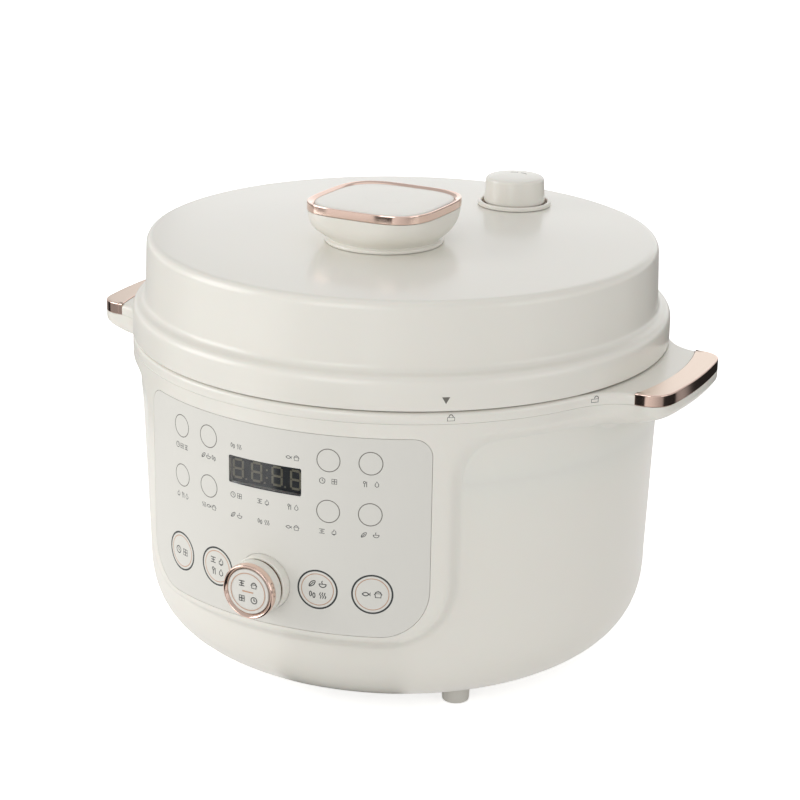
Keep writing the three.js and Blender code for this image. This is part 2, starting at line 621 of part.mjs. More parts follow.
function makeValves() {
  const { ringRadius, capRadius, capBottom, capTop } = VALVE;
  const at = [VALVE.x, VALVE.y, 0];
  const turned = (profile) => revolve(profile, FACETS.medium).translate(at);
  addPart('valve_ring', turned([
    [8, LID.top + GAP], [ringRadius, LID.top + GAP], [ringRadius, LID.top + 2], [ringRadius - 0.8, LID.top + 2.7],
    [ringRadius - 2, LID.top + 2.7], [ringRadius - 2.2, LID.top + 1.2], [8, LID.top + 1.2],
  ]), WHITE);
  addPart('valve_pipe', turned([
    [2.5, 204.5], [5.5, 204.5], [5.5, 213.2], [9, 213.2], [9, 216], [5.5, 216], [5.5, 253], [4, 255],
    [2.5, 255],
  ]), STEEL);
  addPart('filter_cap', turned([
    [0, 194], [9, 194], [9.8, 195], [9.8, 202.7], [8.7, 202.7], [8.7, 195.2], [0, 195.2],
  ]), STEEL);
  addPart('valve_cap', turned([
    [0, capTop - 4], [16.2, capTop - 4], [16.2, capBottom], [capRadius, capBottom], [capRadius - 1.1, capTop - 2.8],
    [capRadius - 2.1, capTop - 1.8], [12, capTop - 0.8], [0, capTop],
  ]), WHITE);
  addPart('valve_needle', turned([[0, 255.3], [2, 255.3], [4.2, 257.5], [4.2, 260.6], [0, 260.6]]), STEEL);
  addPart('float_valve', revolve([
    [0, 195.4], [5.6, 195.4], [5.6, 198.6], [3.2, 198.6], [3.2, 214], [5.2, 214], [5.2, 215.6], [0, 215.6],
  ], FACETS.small).translate([FLOAT.x, FLOAT.y, 0]), STEEL);
}

makeOuterBody();
makeTopFrame();
makeHandleTrims();
makeBase();
makeFeet();
makeInlet();
makeWaterCup();
makePanel();
makeDial();
makePots();
makeHeater();
makeLidCover();
makePressureLid();
makeLidKnob();
makeValves();

export default cooker;
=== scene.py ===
import math

import bmesh
import bpy
from mathutils import Matrix, Vector


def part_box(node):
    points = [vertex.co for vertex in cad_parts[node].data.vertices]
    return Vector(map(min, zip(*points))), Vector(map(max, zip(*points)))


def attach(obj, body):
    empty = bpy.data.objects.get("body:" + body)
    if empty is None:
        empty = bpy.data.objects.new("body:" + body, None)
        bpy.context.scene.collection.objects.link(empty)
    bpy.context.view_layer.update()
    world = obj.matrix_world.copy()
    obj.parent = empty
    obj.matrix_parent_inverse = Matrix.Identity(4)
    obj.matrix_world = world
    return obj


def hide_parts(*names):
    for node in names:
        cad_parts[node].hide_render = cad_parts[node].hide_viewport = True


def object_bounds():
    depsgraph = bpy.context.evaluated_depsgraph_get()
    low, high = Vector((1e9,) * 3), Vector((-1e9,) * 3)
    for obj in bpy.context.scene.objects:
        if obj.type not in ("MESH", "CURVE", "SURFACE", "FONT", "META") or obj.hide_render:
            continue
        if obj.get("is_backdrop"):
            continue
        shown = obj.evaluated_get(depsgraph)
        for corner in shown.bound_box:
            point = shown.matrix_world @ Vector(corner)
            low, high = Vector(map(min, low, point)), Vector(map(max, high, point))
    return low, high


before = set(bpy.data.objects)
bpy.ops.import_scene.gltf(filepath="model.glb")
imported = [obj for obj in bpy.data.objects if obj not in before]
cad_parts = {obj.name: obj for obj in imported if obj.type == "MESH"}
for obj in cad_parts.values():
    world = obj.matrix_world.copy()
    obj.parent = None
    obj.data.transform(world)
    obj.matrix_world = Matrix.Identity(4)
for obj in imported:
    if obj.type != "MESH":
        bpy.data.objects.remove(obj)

bl_info = {
    "name": "Electric Pressure Cooker",
    "version": (1, 0, 0),
    "blender": (4, 5, 0),
    "location": "View3D > Sidebar > Cooker",
    "description": "Builds the pieces of an electric pressure cooker on its packed frame",
    "category": "Object",
}

CAD_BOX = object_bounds()
MM = 0.001

# Driving sizes in millimetres, taken from the frame where it holds them.
RIM_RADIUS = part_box("lid_cover")[1].x / MM
RIM_TOP = 191.0
RIM_BOTTOM = 184.8
EAR_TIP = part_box("handle_trim_right")[1].x / MM
EAR_HALF = 46.0
EAR_BULGE = 4.0
EAR_BLEND = math.radians(27)
CAP_INNER = 172.0
CAP_WALL = 1.5
DIAL_HEIGHT = (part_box("knob_face")[0].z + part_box("knob_face")[1].z) / 2 / MM
LID_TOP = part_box("knob_base")[0].z / MM - 0.3
KNOB_PLACE = (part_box("knob_base")[0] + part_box("knob_base")[1]) / 2 / MM
VALVE_PLACE = (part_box("valve_cap")[0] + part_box("valve_cap")[1]) / 2 / MM
FLOAT_PLACE = (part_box("float_valve")[0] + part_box("float_valve")[1]) / 2 / MM
PANEL_RADIUS = RIM_RADIUS
FLOOR_REACH = 9000.0                  # half the side of the floor
FLOOR_LEVEL = -0.3                    # just under the feet
FLOOR_GLOW = 0.65                     # what the camera sees the floor give off
FLOOR_SPLIT = 0.5                     # metres from the axis where the far painted reflection bands begin
SKY_LOW, SKY_HIGH = 0.90, 0.55        # the world's grey at the horizon and above SKY_TURN
SKY_TURN = 0.45
LIGHTS = (                            # name, place and size in metres, power in watts
    ("key_light", (-1.9, -1.2, 0.9), 1.3, 17.0),
    ("front_light", (0.1, -2.4, 0.8), 1.3, 9.5),
    ("side_light", (2.3, -0.2, 0.7), 1.3, 4.0),
    ("top_light", (0.2, 0.3, 2.0), 1.6, 2.8),
    ("back_light", (-0.6, 1.9, 0.95), 1.6, 4.0))
LIGHT_AIM = (0.0, 0.0, 0.12)
CAMERA_SENSOR, CAMERA_LENS = 36.0, 98.5      # millimetres
CAMERA_TURN, CAMERA_RISE, CAMERA_ROLL = 27.54, 18.63, 1.016      # degrees
CAMERA_DISTANCE = 1.2971
CAMERA_AIM = (0.0, 0.0, 0.1458)


# ---------- settings ----------

def millimetres(name, description, default, low, high):
    return bpy.props.FloatProperty(name=name, description=description, default=default * MM,
                                   min=low * MM, max=high * MM, subtype="DISTANCE", unit="LENGTH")


def colour(name, description, default):
    return bpy.props.FloatVectorProperty(name=name, description=description, default=default,
                                         size=3, min=0.0, max=1.0, subtype="COLOR")


class CookerSizes(bpy.types.PropertyGroup):
    """Sizes that change the look of the cooker without moving its frame."""
    rim_softness: millimetres("Rim softness", "Rounding of the rim band's edges", 2.2, 0.2, 3.0)
    plateau_blend: millimetres("Plateau blend", "Width of the fillet round the raised front", 9.0, 2.0, 16.0)
    plateau_corner: millimetres("Plateau corner", "Corner radius of the raised front", 36.0, 10.0, 50.0)
    print_line: millimetres("Print line", "Width of a thin printed line on the panel", 0.5, 0.1, 1.5)
    knob_half: millimetres("Lid knob half width", "Half width of the squared lid knob", 38.5, 30.0, 42.0)
    segments: bpy.props.IntProperty(name="Segments", description="Facets round a turned piece",
                                    default=144, min=24, max=256)


class CookerColours(bpy.types.PropertyGroup):
    """Base colours of the finishes."""
    shell: colour("Shell", "Warm white moulded plastic", (0.80, 0.777, 0.712))
    film: colour("Film", "Fine matt printed film", (0.72, 0.705, 0.655))
    gold: colour("Rose gold", "Polished rose-gold plating", (0.86, 0.56, 0.44))
    champagne: colour("Champagne", "Satin top of the handle caps", (0.80, 0.66, 0.56))
    ink: colour("Ink", "Dark grey print", (0.045, 0.05, 0.05))
    smoke: colour("Smoke", "Smoked display window", (0.80, 0.81, 0.83))
    steel: colour("Steel", "Stamped stainless steel", (0.58, 0.58, 0.57))


# ---------- shader groups ----------

def new_group(name, inputs, outputs):
    group = bpy.data.node_groups.new(name, "ShaderNodeTree")
    for label, default in inputs:
        socket = group.interface.new_socket(label, in_out="INPUT", socket_type="NodeSocketFloat")
        socket.default_value = default
    for label in outputs:
        group.interface.new_socket(label, in_out="OUTPUT", socket_type="NodeSocketFloat")
    return group, group.nodes.new("NodeGroupInput"), group.nodes.new("NodeGroupOutput")


def math_node(nodes, links, operation, first, second):
    node = nodes.new("ShaderNodeMath")
    node.operation = operation
    for socket, value in zip(node.inputs, (first, second)):
        if isinstance(value, (int, float)):
            socket.default_value = value
        else:
            links.new(value, socket)
    return node.outputs[0]


def moulded_grain():
    """Fine spark-eroded grain with slow changes of gloss over the surface."""
    group, start, end = new_group("moulded_grain", [("Scale", 1800.0), ("Roughness", 0.35), ("Spread", 0.08)],
                                  ["Height", "Roughness"])
    nodes, links = group.nodes, group.links
    place = nodes.new("ShaderNodeTexCoord")
    fine = nodes.new("ShaderNodeTexNoise")
    fine.inputs["Detail"].default_value = 3.0
    broad = nodes.new("ShaderNodeTexNoise")
    broad.inputs["Scale"].default_value = 9.0
    links.new(place.outputs["Object"], fine.inputs["Vector"])
    links.new(place.outputs["Object"], broad.inputs["Vector"])
    links.new(start.outputs["Scale"], fine.inputs["Scale"])
    swing = math_node(nodes, links, "SUBTRACT", broad.outputs["Fac"], 0.5)
    spread = math_node(nodes, links, "MULTIPLY", swing, start.outputs["Spread"])
    rough = math_node(nodes, links, "ADD", start.outputs["Roughness"], spread)
    links.new(fine.outputs["Fac"], end.inputs["Height"])
    links.new(rough, end.inputs["Roughness"])
    return group


def brushed_lines():
    """Turning marks that run round the vertical axis."""
    group, start, end = new_group("brushed_lines", [("Scale", 1400.0), ("Roughness", 0.28), ("Spread", 0.16)],
                                  ["Height", "Roughness"])
    nodes, links = group.nodes, group.links
    place = nodes.new("ShaderNodeTexCoord")
    split = nodes.new("ShaderNodeSeparateXYZ")
    links.new(place.outputs["Object"], split.inputs["Vector"])
    square_x = math_node(nodes, links, "MULTIPLY", split.outputs["X"], split.outputs["X"])
    square_y = math_node(nodes, links, "MULTIPLY", split.outputs["Y"], split.outputs["Y"])
    reach = math_node(nodes, links, "SQRT", math_node(nodes, links, "ADD", square_x, square_y), 0.0)
    join = nodes.new("ShaderNodeCombineXYZ")
    links.new(reach, join.inputs["X"])
    links.new(split.outputs["Z"], join.inputs["Y"])
    lines = nodes.new("ShaderNodeTexNoise")
    lines.inputs["Detail"].default_value = 4.0
    links.new(join.outputs["Vector"], lines.inputs["Vector"])
    links.new(start.outputs["Scale"], lines.inputs["Scale"])
    swing = math_node(nodes, links, "SUBTRACT", lines.outputs["Fac"], 0.5)
    spread = math_node(nodes, links, "MULTIPLY", swing, start.outputs["Spread"])
    rough = math_node(nodes, links, "ADD", start.outputs["Roughness"], spread)
    links.new(lines.outputs["Fac"], end.inputs["Height"])
    links.new(rough, end.inputs["Roughness"])
    return group


def tint_drift():
    """A slow, faint change of lightness, as on any moulding or casting."""
    group, start, end = new_group("tint_drift", [("Scale", 14.0), ("Amount", 0.03)], ["Lightness"])
    nodes, links = group.nodes, group.links
    place = nodes.new("ShaderNodeTexCoord")
    cloud = nodes.new("ShaderNodeTexNoise")
    cloud.inputs["Detail"].default_value = 4.0
    links.new(place.outputs["Object"], cloud.inputs["Vector"])
    links.new(start.outputs["Scale"], cloud.inputs["Scale"])
    swing = math_node(nodes, links, "SUBTRACT", cloud.outputs["Fac"], 0.5)
    change = math_node(nodes, links, "MULTIPLY", swing, start.outputs["Amount"])
    links.new(math_node(nodes, links, "ADD", change, 1.0), end.inputs["Lightness"])
    return group


def shared_group(name):
    makers = {"moulded_grain": moulded_grain, "brushed_lines": brushed_lines, "tint_drift": tint_drift}
    return bpy.data.node_groups.get(name) or makers[name]()


# ---------- materials ----------

def principled(material):
    return next(n for n in material.node_tree.nodes if n.type == "BSDF_PRINCIPLED")


def place_group(material, name, **values):
    node = material.node_tree.nodes.new("ShaderNodeGroup")
    node.node_tree = shared_group(name)
    for label, value in values.items():
        node.inputs[label].default_value = value
    return node


def finish(name, base, grain=None, roughness=0.35, spread=0.08, bump=0.02, drift=0.03, scale=1800.0,
           **sockets):
    """A Principled material: grain is the group that gives its bump and its roughness."""
    material = bpy.data.materials.get(name)
    if material:
        return material
    material = bpy.data.materials.new(name)
    material.use_nodes = True
    nodes, links = material.node_tree.nodes, material.node_tree.links
    shader = principled(material)
    for label, value in sockets.items():
        shader.inputs[label.replace("_", " ")].default_value = value
    tint = place_group(material, "tint_drift", Amount=drift)
    shade = nodes.new("ShaderNodeHueSaturation")
    shade.inputs["Color"].default_value = (*base, 1.0)
    links.new(tint.outputs["Lightness"], shade.inputs["Value"])
    links.new(shade.outputs["Color"], shader.inputs["Base Color"])
    shader.inputs["Roughness"].default_value = roughness
    if grain:
        surface = place_group(material, grain, Scale=scale, Roughness=roughness, Spread=spread)
        links.new(surface.outputs["Roughness"], shader.inputs["Roughness"])
        raised = nodes.new("ShaderNodeBump")
        raised.inputs["Strength"].default_value = bump
        raised.inputs["Distance"].default_value = 0.1 * MM
        links.new(surface.outputs["Height"], raised.inputs["Height"])
        links.new(raised.outputs["Normal"], shader.inputs["Normal"])
    return material


def palette():
    return bpy.context.scene.cooker_colours


def shell_white():
    return finish("shell_white", palette().shell, "moulded_grain", roughness=0.30, bump=0.10, drift=0.012,
                  Coat_Weight=0.25, Coat_Roughness=0.12, Subsurface_Weight=0.05, Subsurface_Scale=0.002)


def panel_grey():
    return finish("panel_grey", palette().film, "moulded_grain", roughness=0.42, bump=0.15, drift=0.012,
                  scale=2600.0)


def rose_gold():
    return finish("rose_gold", palette().gold, "moulded_grain", roughness=0.07, spread=0.03, bump=0.01,
                  drift=0.02, Metallic=1.0)


def satin_gold():
    return finish("satin_gold", palette().champagne, "moulded_grain", roughness=0.34, spread=0.05, bump=0.04,
                  drift=0.02, Metallic=1.0)


def dark_ink():
    return finish("dark_ink", palette().ink, "moulded_grain", roughness=0.5, bump=0.02, drift=0.05)


def gold_ink():
    return finish("gold_ink", (0.60, 0.34, 0.22), "moulded_grain", roughness=0.4, bump=0.02, Metallic=0.4)


def smoked_glass():
    return finish("smoked_glass", palette().smoke, None, roughness=0.03, drift=0.01,
                  Transmission_Weight=1.0, IOR=1.45)


def steel():
    return finish("steel", palette().steel, "brushed_lines", roughness=0.27, bump=0.12, Metallic=1.0)


def cast_metal():
    return finish("cast_metal", (0.45, 0.46, 0.47), "moulded_grain", roughness=0.45, bump=0.3, scale=500.0,
                  Metallic=1.0)


def non_stick():
    return finish("non_stick", (0.035, 0.034, 0.034), "moulded_grain", roughness=0.42, bump=0.25, scale=900.0,
                  drift=0.4, Coat_Weight=0.2, Coat_Roughness=0.3)


def black_plastic():
    return finish("black_plastic", (0.018, 0.018, 0.02), "moulded_grain", roughness=0.45, bump=0.15)


def display_black():
    return finish("display_black", (0.055, 0.062, 0.066), "moulded_grain", roughness=0.5, bump=0.02)


def ghost_segment():
    return finish("ghost_segment", (0.42, 0.39, 0.28), "moulded_grain", roughness=0.5, bump=0.02)


def green_board():
    return finish("green_board", (0.02, 0.10, 0.045), "moulded_grain", roughness=0.35, bump=0.1, drift=0.1)


def silicone():
    return finish("silicone", (0.72, 0.69, 0.63), "moulded_grain", roughness=0.5, bump=0.1,
                  Subsurface_Weight=0.2, Subsurface_Scale=0.003)


def light_rubber():
    return finish("light_rubber", (0.66, 0.64, 0.59), "moulded_grain", roughness=0.7, bump=0.2)


def brass():
    return finish("brass", (0.72, 0.52, 0.22), "moulded_grain", roughness=0.3, bump=0.05, Metallic=1.0)


def cup_plastic():
    return finish("cup_plastic", (0.72, 0.72, 0.70), "moulded_grain", roughness=0.22, bump=0.05,
                  Transmission_Weight=0.55, IOR=1.49)


# ---------- mesh building ----------

class Draft:
    """Collects corners, in millimetres, and faces for one piece."""

    def __init__(self):
        self.corners = []
        self.faces = []
        self.marks = []
        self.mark = 0

    def add_face(self, *corners):
        self.faces.append(corners)
        self.marks.append(self.mark)

    def rows(self, rows, loop_rows=False, loop_columns=True):
        """Skins rows of points that all have the same length."""
        start, width = len(self.corners), len(rows[0])
        for row in rows:
            self.corners.extend(row)
        for i in range(len(rows) if loop_rows else len(rows) - 1):
            near, far = start + i * width, start + ((i + 1) % len(rows)) * width
            for j in range(width if loop_columns else width - 1):
                k = (j + 1) % width
                self.add_face(near + j, near + k, far + k, far + j)

    def cap(self, row):
        start = len(self.corners)
        self.corners.extend(row)
        self.add_face(*range(start, start + len(row)))

    def prism(self, lower, upper):
        """A closed solid between two outlines."""
        self.rows([lower, upper])
        self.cap(lower)
        self.cap(upper)


def piece(name, draft, finishes, weld=0.002, sharp=38):
    mesh = bpy.data.meshes.new(name)
    mesh.from_pydata([tuple(c * MM for c in corner) for corner in draft.corners], [], draft.faces)
    for material in finishes:
        mesh.materials.append(material)
    for polygon, mark in zip(mesh.polygons, draft.marks):
        polygon.material_index = mark
    tidy(mesh, weld, sharp)
    return link(name, mesh)


def tidy(mesh, weld=0.002, sharp=38):
    """Joins doubled corners, drops collapsed faces, faces outwards and shades smooth between sharp edges."""
    draft = bmesh.new()
    draft.from_mesh(mesh)
    bmesh.ops.remove_doubles(draft, verts=draft.verts, dist=weld * MM)
    bmesh.ops.dissolve_degenerate(draft, dist=weld * MM * 0.5, edges=draft.edges)
    bmesh.ops.recalc_face_normals(draft, faces=draft.faces)
    draft.to_mesh(mesh)
    draft.free()
    mesh.shade_smooth()
    mesh.set_sharp_from_angle(angle=math.radians(sharp))


def link(name, mesh):
    made = bpy.data.objects.new(name, mesh)
    bpy.context.scene.collection.objects.link(made)
    return made


def settle(made, body, *nodes):
    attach(made, body)
    if nodes:
        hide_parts(*nodes)
    return made


def apply_modifiers(made):
    """Bakes an object's modifiers into a plain mesh of its own."""
    graph = bpy.context.evaluated_depsgraph_get()
    mesh = bpy.data.meshes.new_from_object(made.evaluated_get(graph))
    mesh.name = made.name
    made.modifiers.clear()
    made.data = mesh
    return made


def carve(made, *cutters):
    for cutter in cutters:
        cut = made.modifiers.new("cut", "BOOLEAN")
        cut.operation, cut.solver, cut.object = "DIFFERENCE", "EXACT", cutter
    apply_modifiers(made)
    for cutter in cutters:
        bpy.data.objects.remove(cutter)
    made.data.shade_smooth()
    made.data.set_sharp_from_angle(angle=math.radians(32))
    return made


# ---------- geometry-node trees ----------

def new_tree(name, inputs):
    tree = bpy.data.node_groups.new(name, "GeometryNodeTree")
    tree.interface.new_socket("Geometry", in_out="INPUT", socket_type="NodeSocketGeometry")
    for label, kind in inputs:
        tree.interface.new_socket(label, in_out="INPUT", socket_type="NodeSocket" + kind)
    tree.interface.new_socket("Geometry", in_out="OUTPUT", socket_type="NodeSocketGeometry")
    return tree, tree.nodes.new("NodeGroupInput"), tree.nodes.new("NodeGroupOutput")


def close_tree(tree, start, end, made):
    """Every tree ends in real geometry with its finish."""
    real = tree.nodes.new("GeometryNodeRealizeInstances")
    paint = tree.nodes.new("GeometryNodeSetMaterial")
    tree.links.new(made, real.inputs["Geometry"])
    tree.links.new(real.outputs["Geometry"], paint.inputs["Geometry"])
    tree.links.new(start.outputs["Finish"], paint.inputs["Material"])
    tree.links.new(paint.outputs["Geometry"], end.inputs["Geometry"])
    return tree


def turned_section_tree():
    """Sweeps a section round a circle. The section's X is its distance outside that circle."""
    found = bpy.data.node_groups.get("turned_section")
    if found:
        return found
    tree, start, end = new_tree("turned_section", [("Segments", "Int"), ("Pitch radius", "Float"),
                                                   ("Finish", "Material")])
    nodes, links = tree.nodes, tree.links
    section = nodes.new("GeometryNodeMeshToCurve")
    circle = nodes.new("GeometryNodeCurvePrimitiveCircle")
    sweep = nodes.new("GeometryNodeCurveToMesh")
    weld = nodes.new("GeometryNodeMergeByDistance")
    weld.inputs["Distance"].default_value = 0.004 * MM
    links.new(start.outputs["Geometry"], section.inputs["Mesh"])
    links.new(start.outputs["Segments"], circle.inputs["Resolution"])
    links.new(start.outputs["Pitch radius"], circle.inputs["Radius"])
    links.new(circle.outputs["Curve"], sweep.inputs["Curve"])
    links.new(section.outputs["Curve"], sweep.inputs["Profile Curve"])
    links.new(sweep.outputs["Mesh"], weld.inputs["Geometry"])
    return close_tree(tree, start, end, weld.outputs["Geometry"])


def ring_of_copies_tree():
    """Sets copies of the incoming shape round the vertical axis."""
    found = bpy.data.node_groups.get("ring_of_copies")
    if found:
        return found
    tree, start, end = new_tree("ring_of_copies", [("Count", "Int"), ("First angle", "Float"),
                                                   ("Finish", "Material")])
    nodes, links = tree.nodes, tree.links
    points = nodes.new("GeometryNodePoints")
    copies = nodes.new("GeometryNodeInstanceOnPoints")
    index = nodes.new("GeometryNodeInputIndex")
    links.new(start.outputs["Count"], points.inputs["Count"])
    links.new(points.outputs["Points"], copies.inputs["Points"])
    links.new(start.outputs["Geometry"], copies.inputs["Instance"])
    share = math_node(nodes, links, "DIVIDE", index.outputs["Index"], start.outputs["Count"])
    turn = math_node(nodes, links, "MULTIPLY", share, 2 * math.pi)
    angle = math_node(nodes, links, "ADD", turn, start.outputs["First angle"])
    about = nodes.new("ShaderNodeCombineXYZ")
    links.new(angle, about.inputs["Z"])
    links.new(about.outputs["Vector"], copies.inputs["Rotation"])
    return close_tree(tree, start, end, copies.outputs["Instances"])


def run_tree(made, tree, values):
    modifier = made.modifiers.new(tree.name, "NODES")
    modifier.node_group = tree
    for item in tree.interface.items_tree:
        if item.in_out == "INPUT" and item.name in values:
            modifier[item.identifier] = values[item.name]
    return apply_modifiers(made)


def soften(profile, steps=5):
    """Turns each (radius, height, rounding) corner into a short curve of that size."""
    points = []
    for i, (radius, height, rounding) in enumerate(profile):
        corner = Vector((radius, height))
        if not rounding:
            points.append(corner)
            continue
        before = Vector(profile[i - 1][:2]) - corner
        after = Vector(profile[(i + 1) % len(profile)][:2]) - corner
        first = corner + before.normalized() * min(rounding, before.length * 0.49)
        last = corner + after.normalized() * min(rounding, after.length * 0.49)
        for k in range(steps + 1):
            t = k / steps
            points.append(first * (1 - t) ** 2 + corner * 2 * t * (1 - t) + last * t ** 2)
    return points


def turned(name, profile, material, body, *nodes, segments=None, place=None, forward=False, sharp=38):
    """A piece turned from a section of (radius, height, rounding) corners."""
    points = soften(profile)
    pitch = 100.0
    section = bpy.data.meshes.new(name)
    edges = [(i, i + 1) for i in range(len(points) - 1)]
    if profile[0][0] > 0:
        edges.append((len(points) - 1, 0))
    section.from_pydata([((p.x - pitch) * MM, -p.y * MM, 0.0) for p in points], edges, [])
    made = run_tree(link(name, section), turned_section_tree(), {
        "Segments": segments or bpy.context.scene.cooker_sizes.segments,
        "Pitch radius": pitch * MM, "Finish": material})
    tidy(made.data, sharp=sharp)
    if place:
        made.data.transform(Matrix.Translation((place[0] * MM, place[1] * MM, 0.0)))
    if forward:
        up = Matrix.Translation((0.0, 0.0, DIAL_HEIGHT * MM))
        made.data.transform(up @ Matrix.Rotation(math.pi / 2, 4, "X"))
    return settle(made, body, *nodes)


# ---------- the rim outline, shared by the band, the caps and the shell ----------

def curve(first, control, last, steps):
    first, control, last = Vector(first), Vector(control), Vector(last)
    shares = [k / steps for k in range(steps)]
    return [first * (1 - t) ** 2 + control * 2 * t * (1 - t) + last * t ** 2 for t in shares]


def rim_outline():
    """The rim from above, anticlockwise from the right ear's first blend: (x, y) points."""
    leave = Vector((RIM_RADIUS * math.cos(EAR_BLEND), -RIM_RADIUS * math.sin(EAR_BLEND)))
    climb = (-EAR_HALF - leave.y) / math.cos(EAR_BLEND)
    bend = (leave.x + climb * math.sin(EAR_BLEND), -EAR_HALF)
    shoulder, corner = EAR_TIP - EAR_BULGE, 13.0
    bowed = lambda y: EAR_TIP - EAR_BULGE * (y / EAR_HALF) ** 2
    lower = curve(leave, bend, (168.0, -EAR_HALF), 16)
    lower += curve((168.0, -EAR_HALF), (168.5, -EAR_HALF), (shoulder - corner, -EAR_HALF), 2)
    lower += curve((shoulder - corner, -EAR_HALF), (shoulder, -EAR_HALF),
                   (bowed(corner - EAR_HALF), corner - EAR_HALF), 12)
    steps = 14
    lower += [Vector((bowed(y), y)) for y in [(corner - EAR_HALF) * (1 - k / steps) for k in range(steps)]]
    upper = [Vector((p.x, -p.y)) for p in reversed(lower[:])]
    right = lower + [Vector((EAR_TIP, 0.0))] + upper
    arc = []
    steps = 128
    for k in range(1, steps):
        angle = EAR_BLEND + (math.pi - 2 * EAR_BLEND) * k / steps
        arc.append(Vector((RIM_RADIUS * math.cos(angle), RIM_RADIUS * math.sin(angle))))
    half = right + arc
    return half + [Vector((-p.x, -p.y)) for p in half]


def rim_reach(turn):
    """How far the rim outline lies from the axis, at an angle in degrees from the front towards the right."""
    wanted = math.radians(turn) - math.pi / 2
    ordered = sorted(rim_outline(), key=lambda p: math.atan2(p.y, p.x))
    for low, high in zip(ordered, ordered[1:]):
        first, last = math.atan2(low.y, low.x), math.atan2(high.y, high.x)
        if first <= wanted <= last:
            return low.lerp(high, (wanted - first) / (last - first)).length
    return RIM_RADIUS


def smoothstep(low, high, value):
    t = min(max((value - low) / (high - low), 0.0), 1.0)
    return t * t * (3 - 2 * t)


def tip_share(length):
    """1 where the outline lies under a handle cap, 0 elsewhere."""
    return 1.0 if length > CAP_INNER + 0.2 else 0.0


# ---------- outer shell ----------

BASE_HEIGHT = 6.2
CURVE_TOP = 63.2
SHELL_TOP = 184.7
EAR_TOP = 181.5
EAR_DEPTH = 11.5


def wall_radius(height):
    """The bowl-shaped lower wall and the slightly opening upper wall, without plateau or band."""
    if height >= CURVE_TOP:
        return 148.0 + (height - CURVE_TOP) / (SHELL_TOP - CURVE_TOP) * 4.0
    down = (CURVE_TOP - height) / (CURVE_TOP - BASE_HEIGHT)
    return 70.0 + 78.0 * max(1.0 - down ** 2.8, 0.0) ** (1 / 2.8)


def plateau_distance(across, height):
    """Signed distance, along the wall, outside the raised front and the band it flares into."""
    corner = bpy.context.scene.cooker_sizes.plateau_corner / MM
    half, low, high = 106.0, 57.0, 300.0
    side = abs(across) - half + corner
    tall = abs(height - (low + high) / 2) - (high - low) / 2 + corner
    plateau = math.hypot(max(side, 0.0), max(tall, 0.0)) + min(max(side, tall), 0.0) - corner
    band = 175.0 - height
    soft = 26.0
    share = min(max(0.5 + 0.5 * (band - plateau) / soft, 0.0), 1.0)
    return band + (plateau - band) * share - soft * share * (1 - share)


def shell_radius(across, height):
    blend = bpy.context.scene.cooker_sizes.plateau_blend / MM
    lift = 1.0 - smoothstep(-blend / 2, blend / 2, plateau_distance(across, height))
    plain = wall_radius(height)
    return plain + (RIM_RADIUS - plain) * lift


def edge_normals(outline):
    """The outward direction at each point of a closed outline."""
    normals = []
    count = len(outline)
    for i in range(count):
        along = outline[(i + 1) % count] - outline[i - 1]
        normals.append(Vector((along.y, -along.x)).normalized())
    return normals


def inset_row(outline, normals, inset, height):
    """A row of the outline moved in square to itself."""
    return [(p.x - n.x * inset, p.y - n.y * inset, height) for p, n in zip(outline, normals)]


def shell_outline():
    """The rim outline with finer columns beside the raised front's edges."""
    outline = [p for p in rim_outline() if p.length > RIM_RADIUS + 0.05]
    turns = []
    for k in range(-63, 64):
        fine = 30 <= abs(k) <= 48
        turns += [k, k + 0.5] if fine else [k] * (k % 2)
    front = [Vector((math.sin(math.radians(t)), -math.cos(math.radians(t)))) * RIM_RADIUS for t in turns]
    back = [Vector((math.sin(math.radians(t)), math.cos(math.radians(t)))) * RIM_RADIUS
            for t in range(-62, 63, 2)]
    merged = outline + front + back
    ordered = sorted(merged, key=lambda p: math.atan2(p.y, p.x))
    split = []
    for near, far in zip(ordered, ordered[1:] + ordered[:1]):
        split.append(near)
        if tip_share(near.length) != tip_share(far.length):
            share = (CAP_INNER + 0.2 - near.length) / (far.length - near.length)
            split += [near.lerp(far, share - 0.01), near.lerp(far, share + 0.01)]
    return split


def shell_rows():
    """The outer wall up to the rim with the lower halves of the handles, then its inner side."""
    outline = shell_outline()
    normals = edge_normals(outline)
    across = [math.atan2(p.x, -p.y) * RIM_RADIUS for p in outline]

    def wall_row(height, share=0.0):
        row = []
        for point, arc in zip(outline, across):
            length = point.length
            radius = shell_radius(arc, height) + (length - RIM_RADIUS) * share
            row.append((point.x * radius / length, point.y * radius / length, height))
        return row

    def round_row(radius, height):
        return [(p.x * radius / p.length, p.y * radius / p.length, height) for p in outline]

    rows = [round_row(60.0, BASE_HEIGHT)]
    heights = []
    for k in range(14):
        heights.append(BASE_HEIGHT + (40.0 - BASE_HEIGHT) * (k / 14) ** 2.2)
    heights += [40.0 + 1.3 * k for k in range(20)]
    heights += [66.0 + 1.7 * k for k in range(18)]
    heights += [97.0 + 3.9 * k for k in range(16)]
    rows += [wall_row(height) for height in heights]
    rows += [wall_row(height, share) for height, share in ((159.0, 0.0), (162.0, 0.004), (165.0, 0.02),
                                                           (167.5, 0.05), (169.2, 0.09))]
    for k in range(17):
        turn = math.radians(7.5 + 82.5 * k / 16)
        rows.append(wall_row(EAR_TOP - EAR_DEPTH * math.cos(turn), math.sin(turn)))
    rows.append(inset_row(outline, normals, 0.0, SHELL_TOP - 0.15))
    rows.append(inset_row(outline, normals, 0.15, SHELL_TOP))
    rows.append(round_row(153.2, SHELL_TOP))
    rows.append(round_row(145.2, CURVE_TOP))
    for height in (50.0, 35.0, 20.0, 12.0, 9.0):
        rows.append(round_row(wall_radius(height) - 3.2, height))
    rows.append(round_row(60.0, 9.0))
    return rows


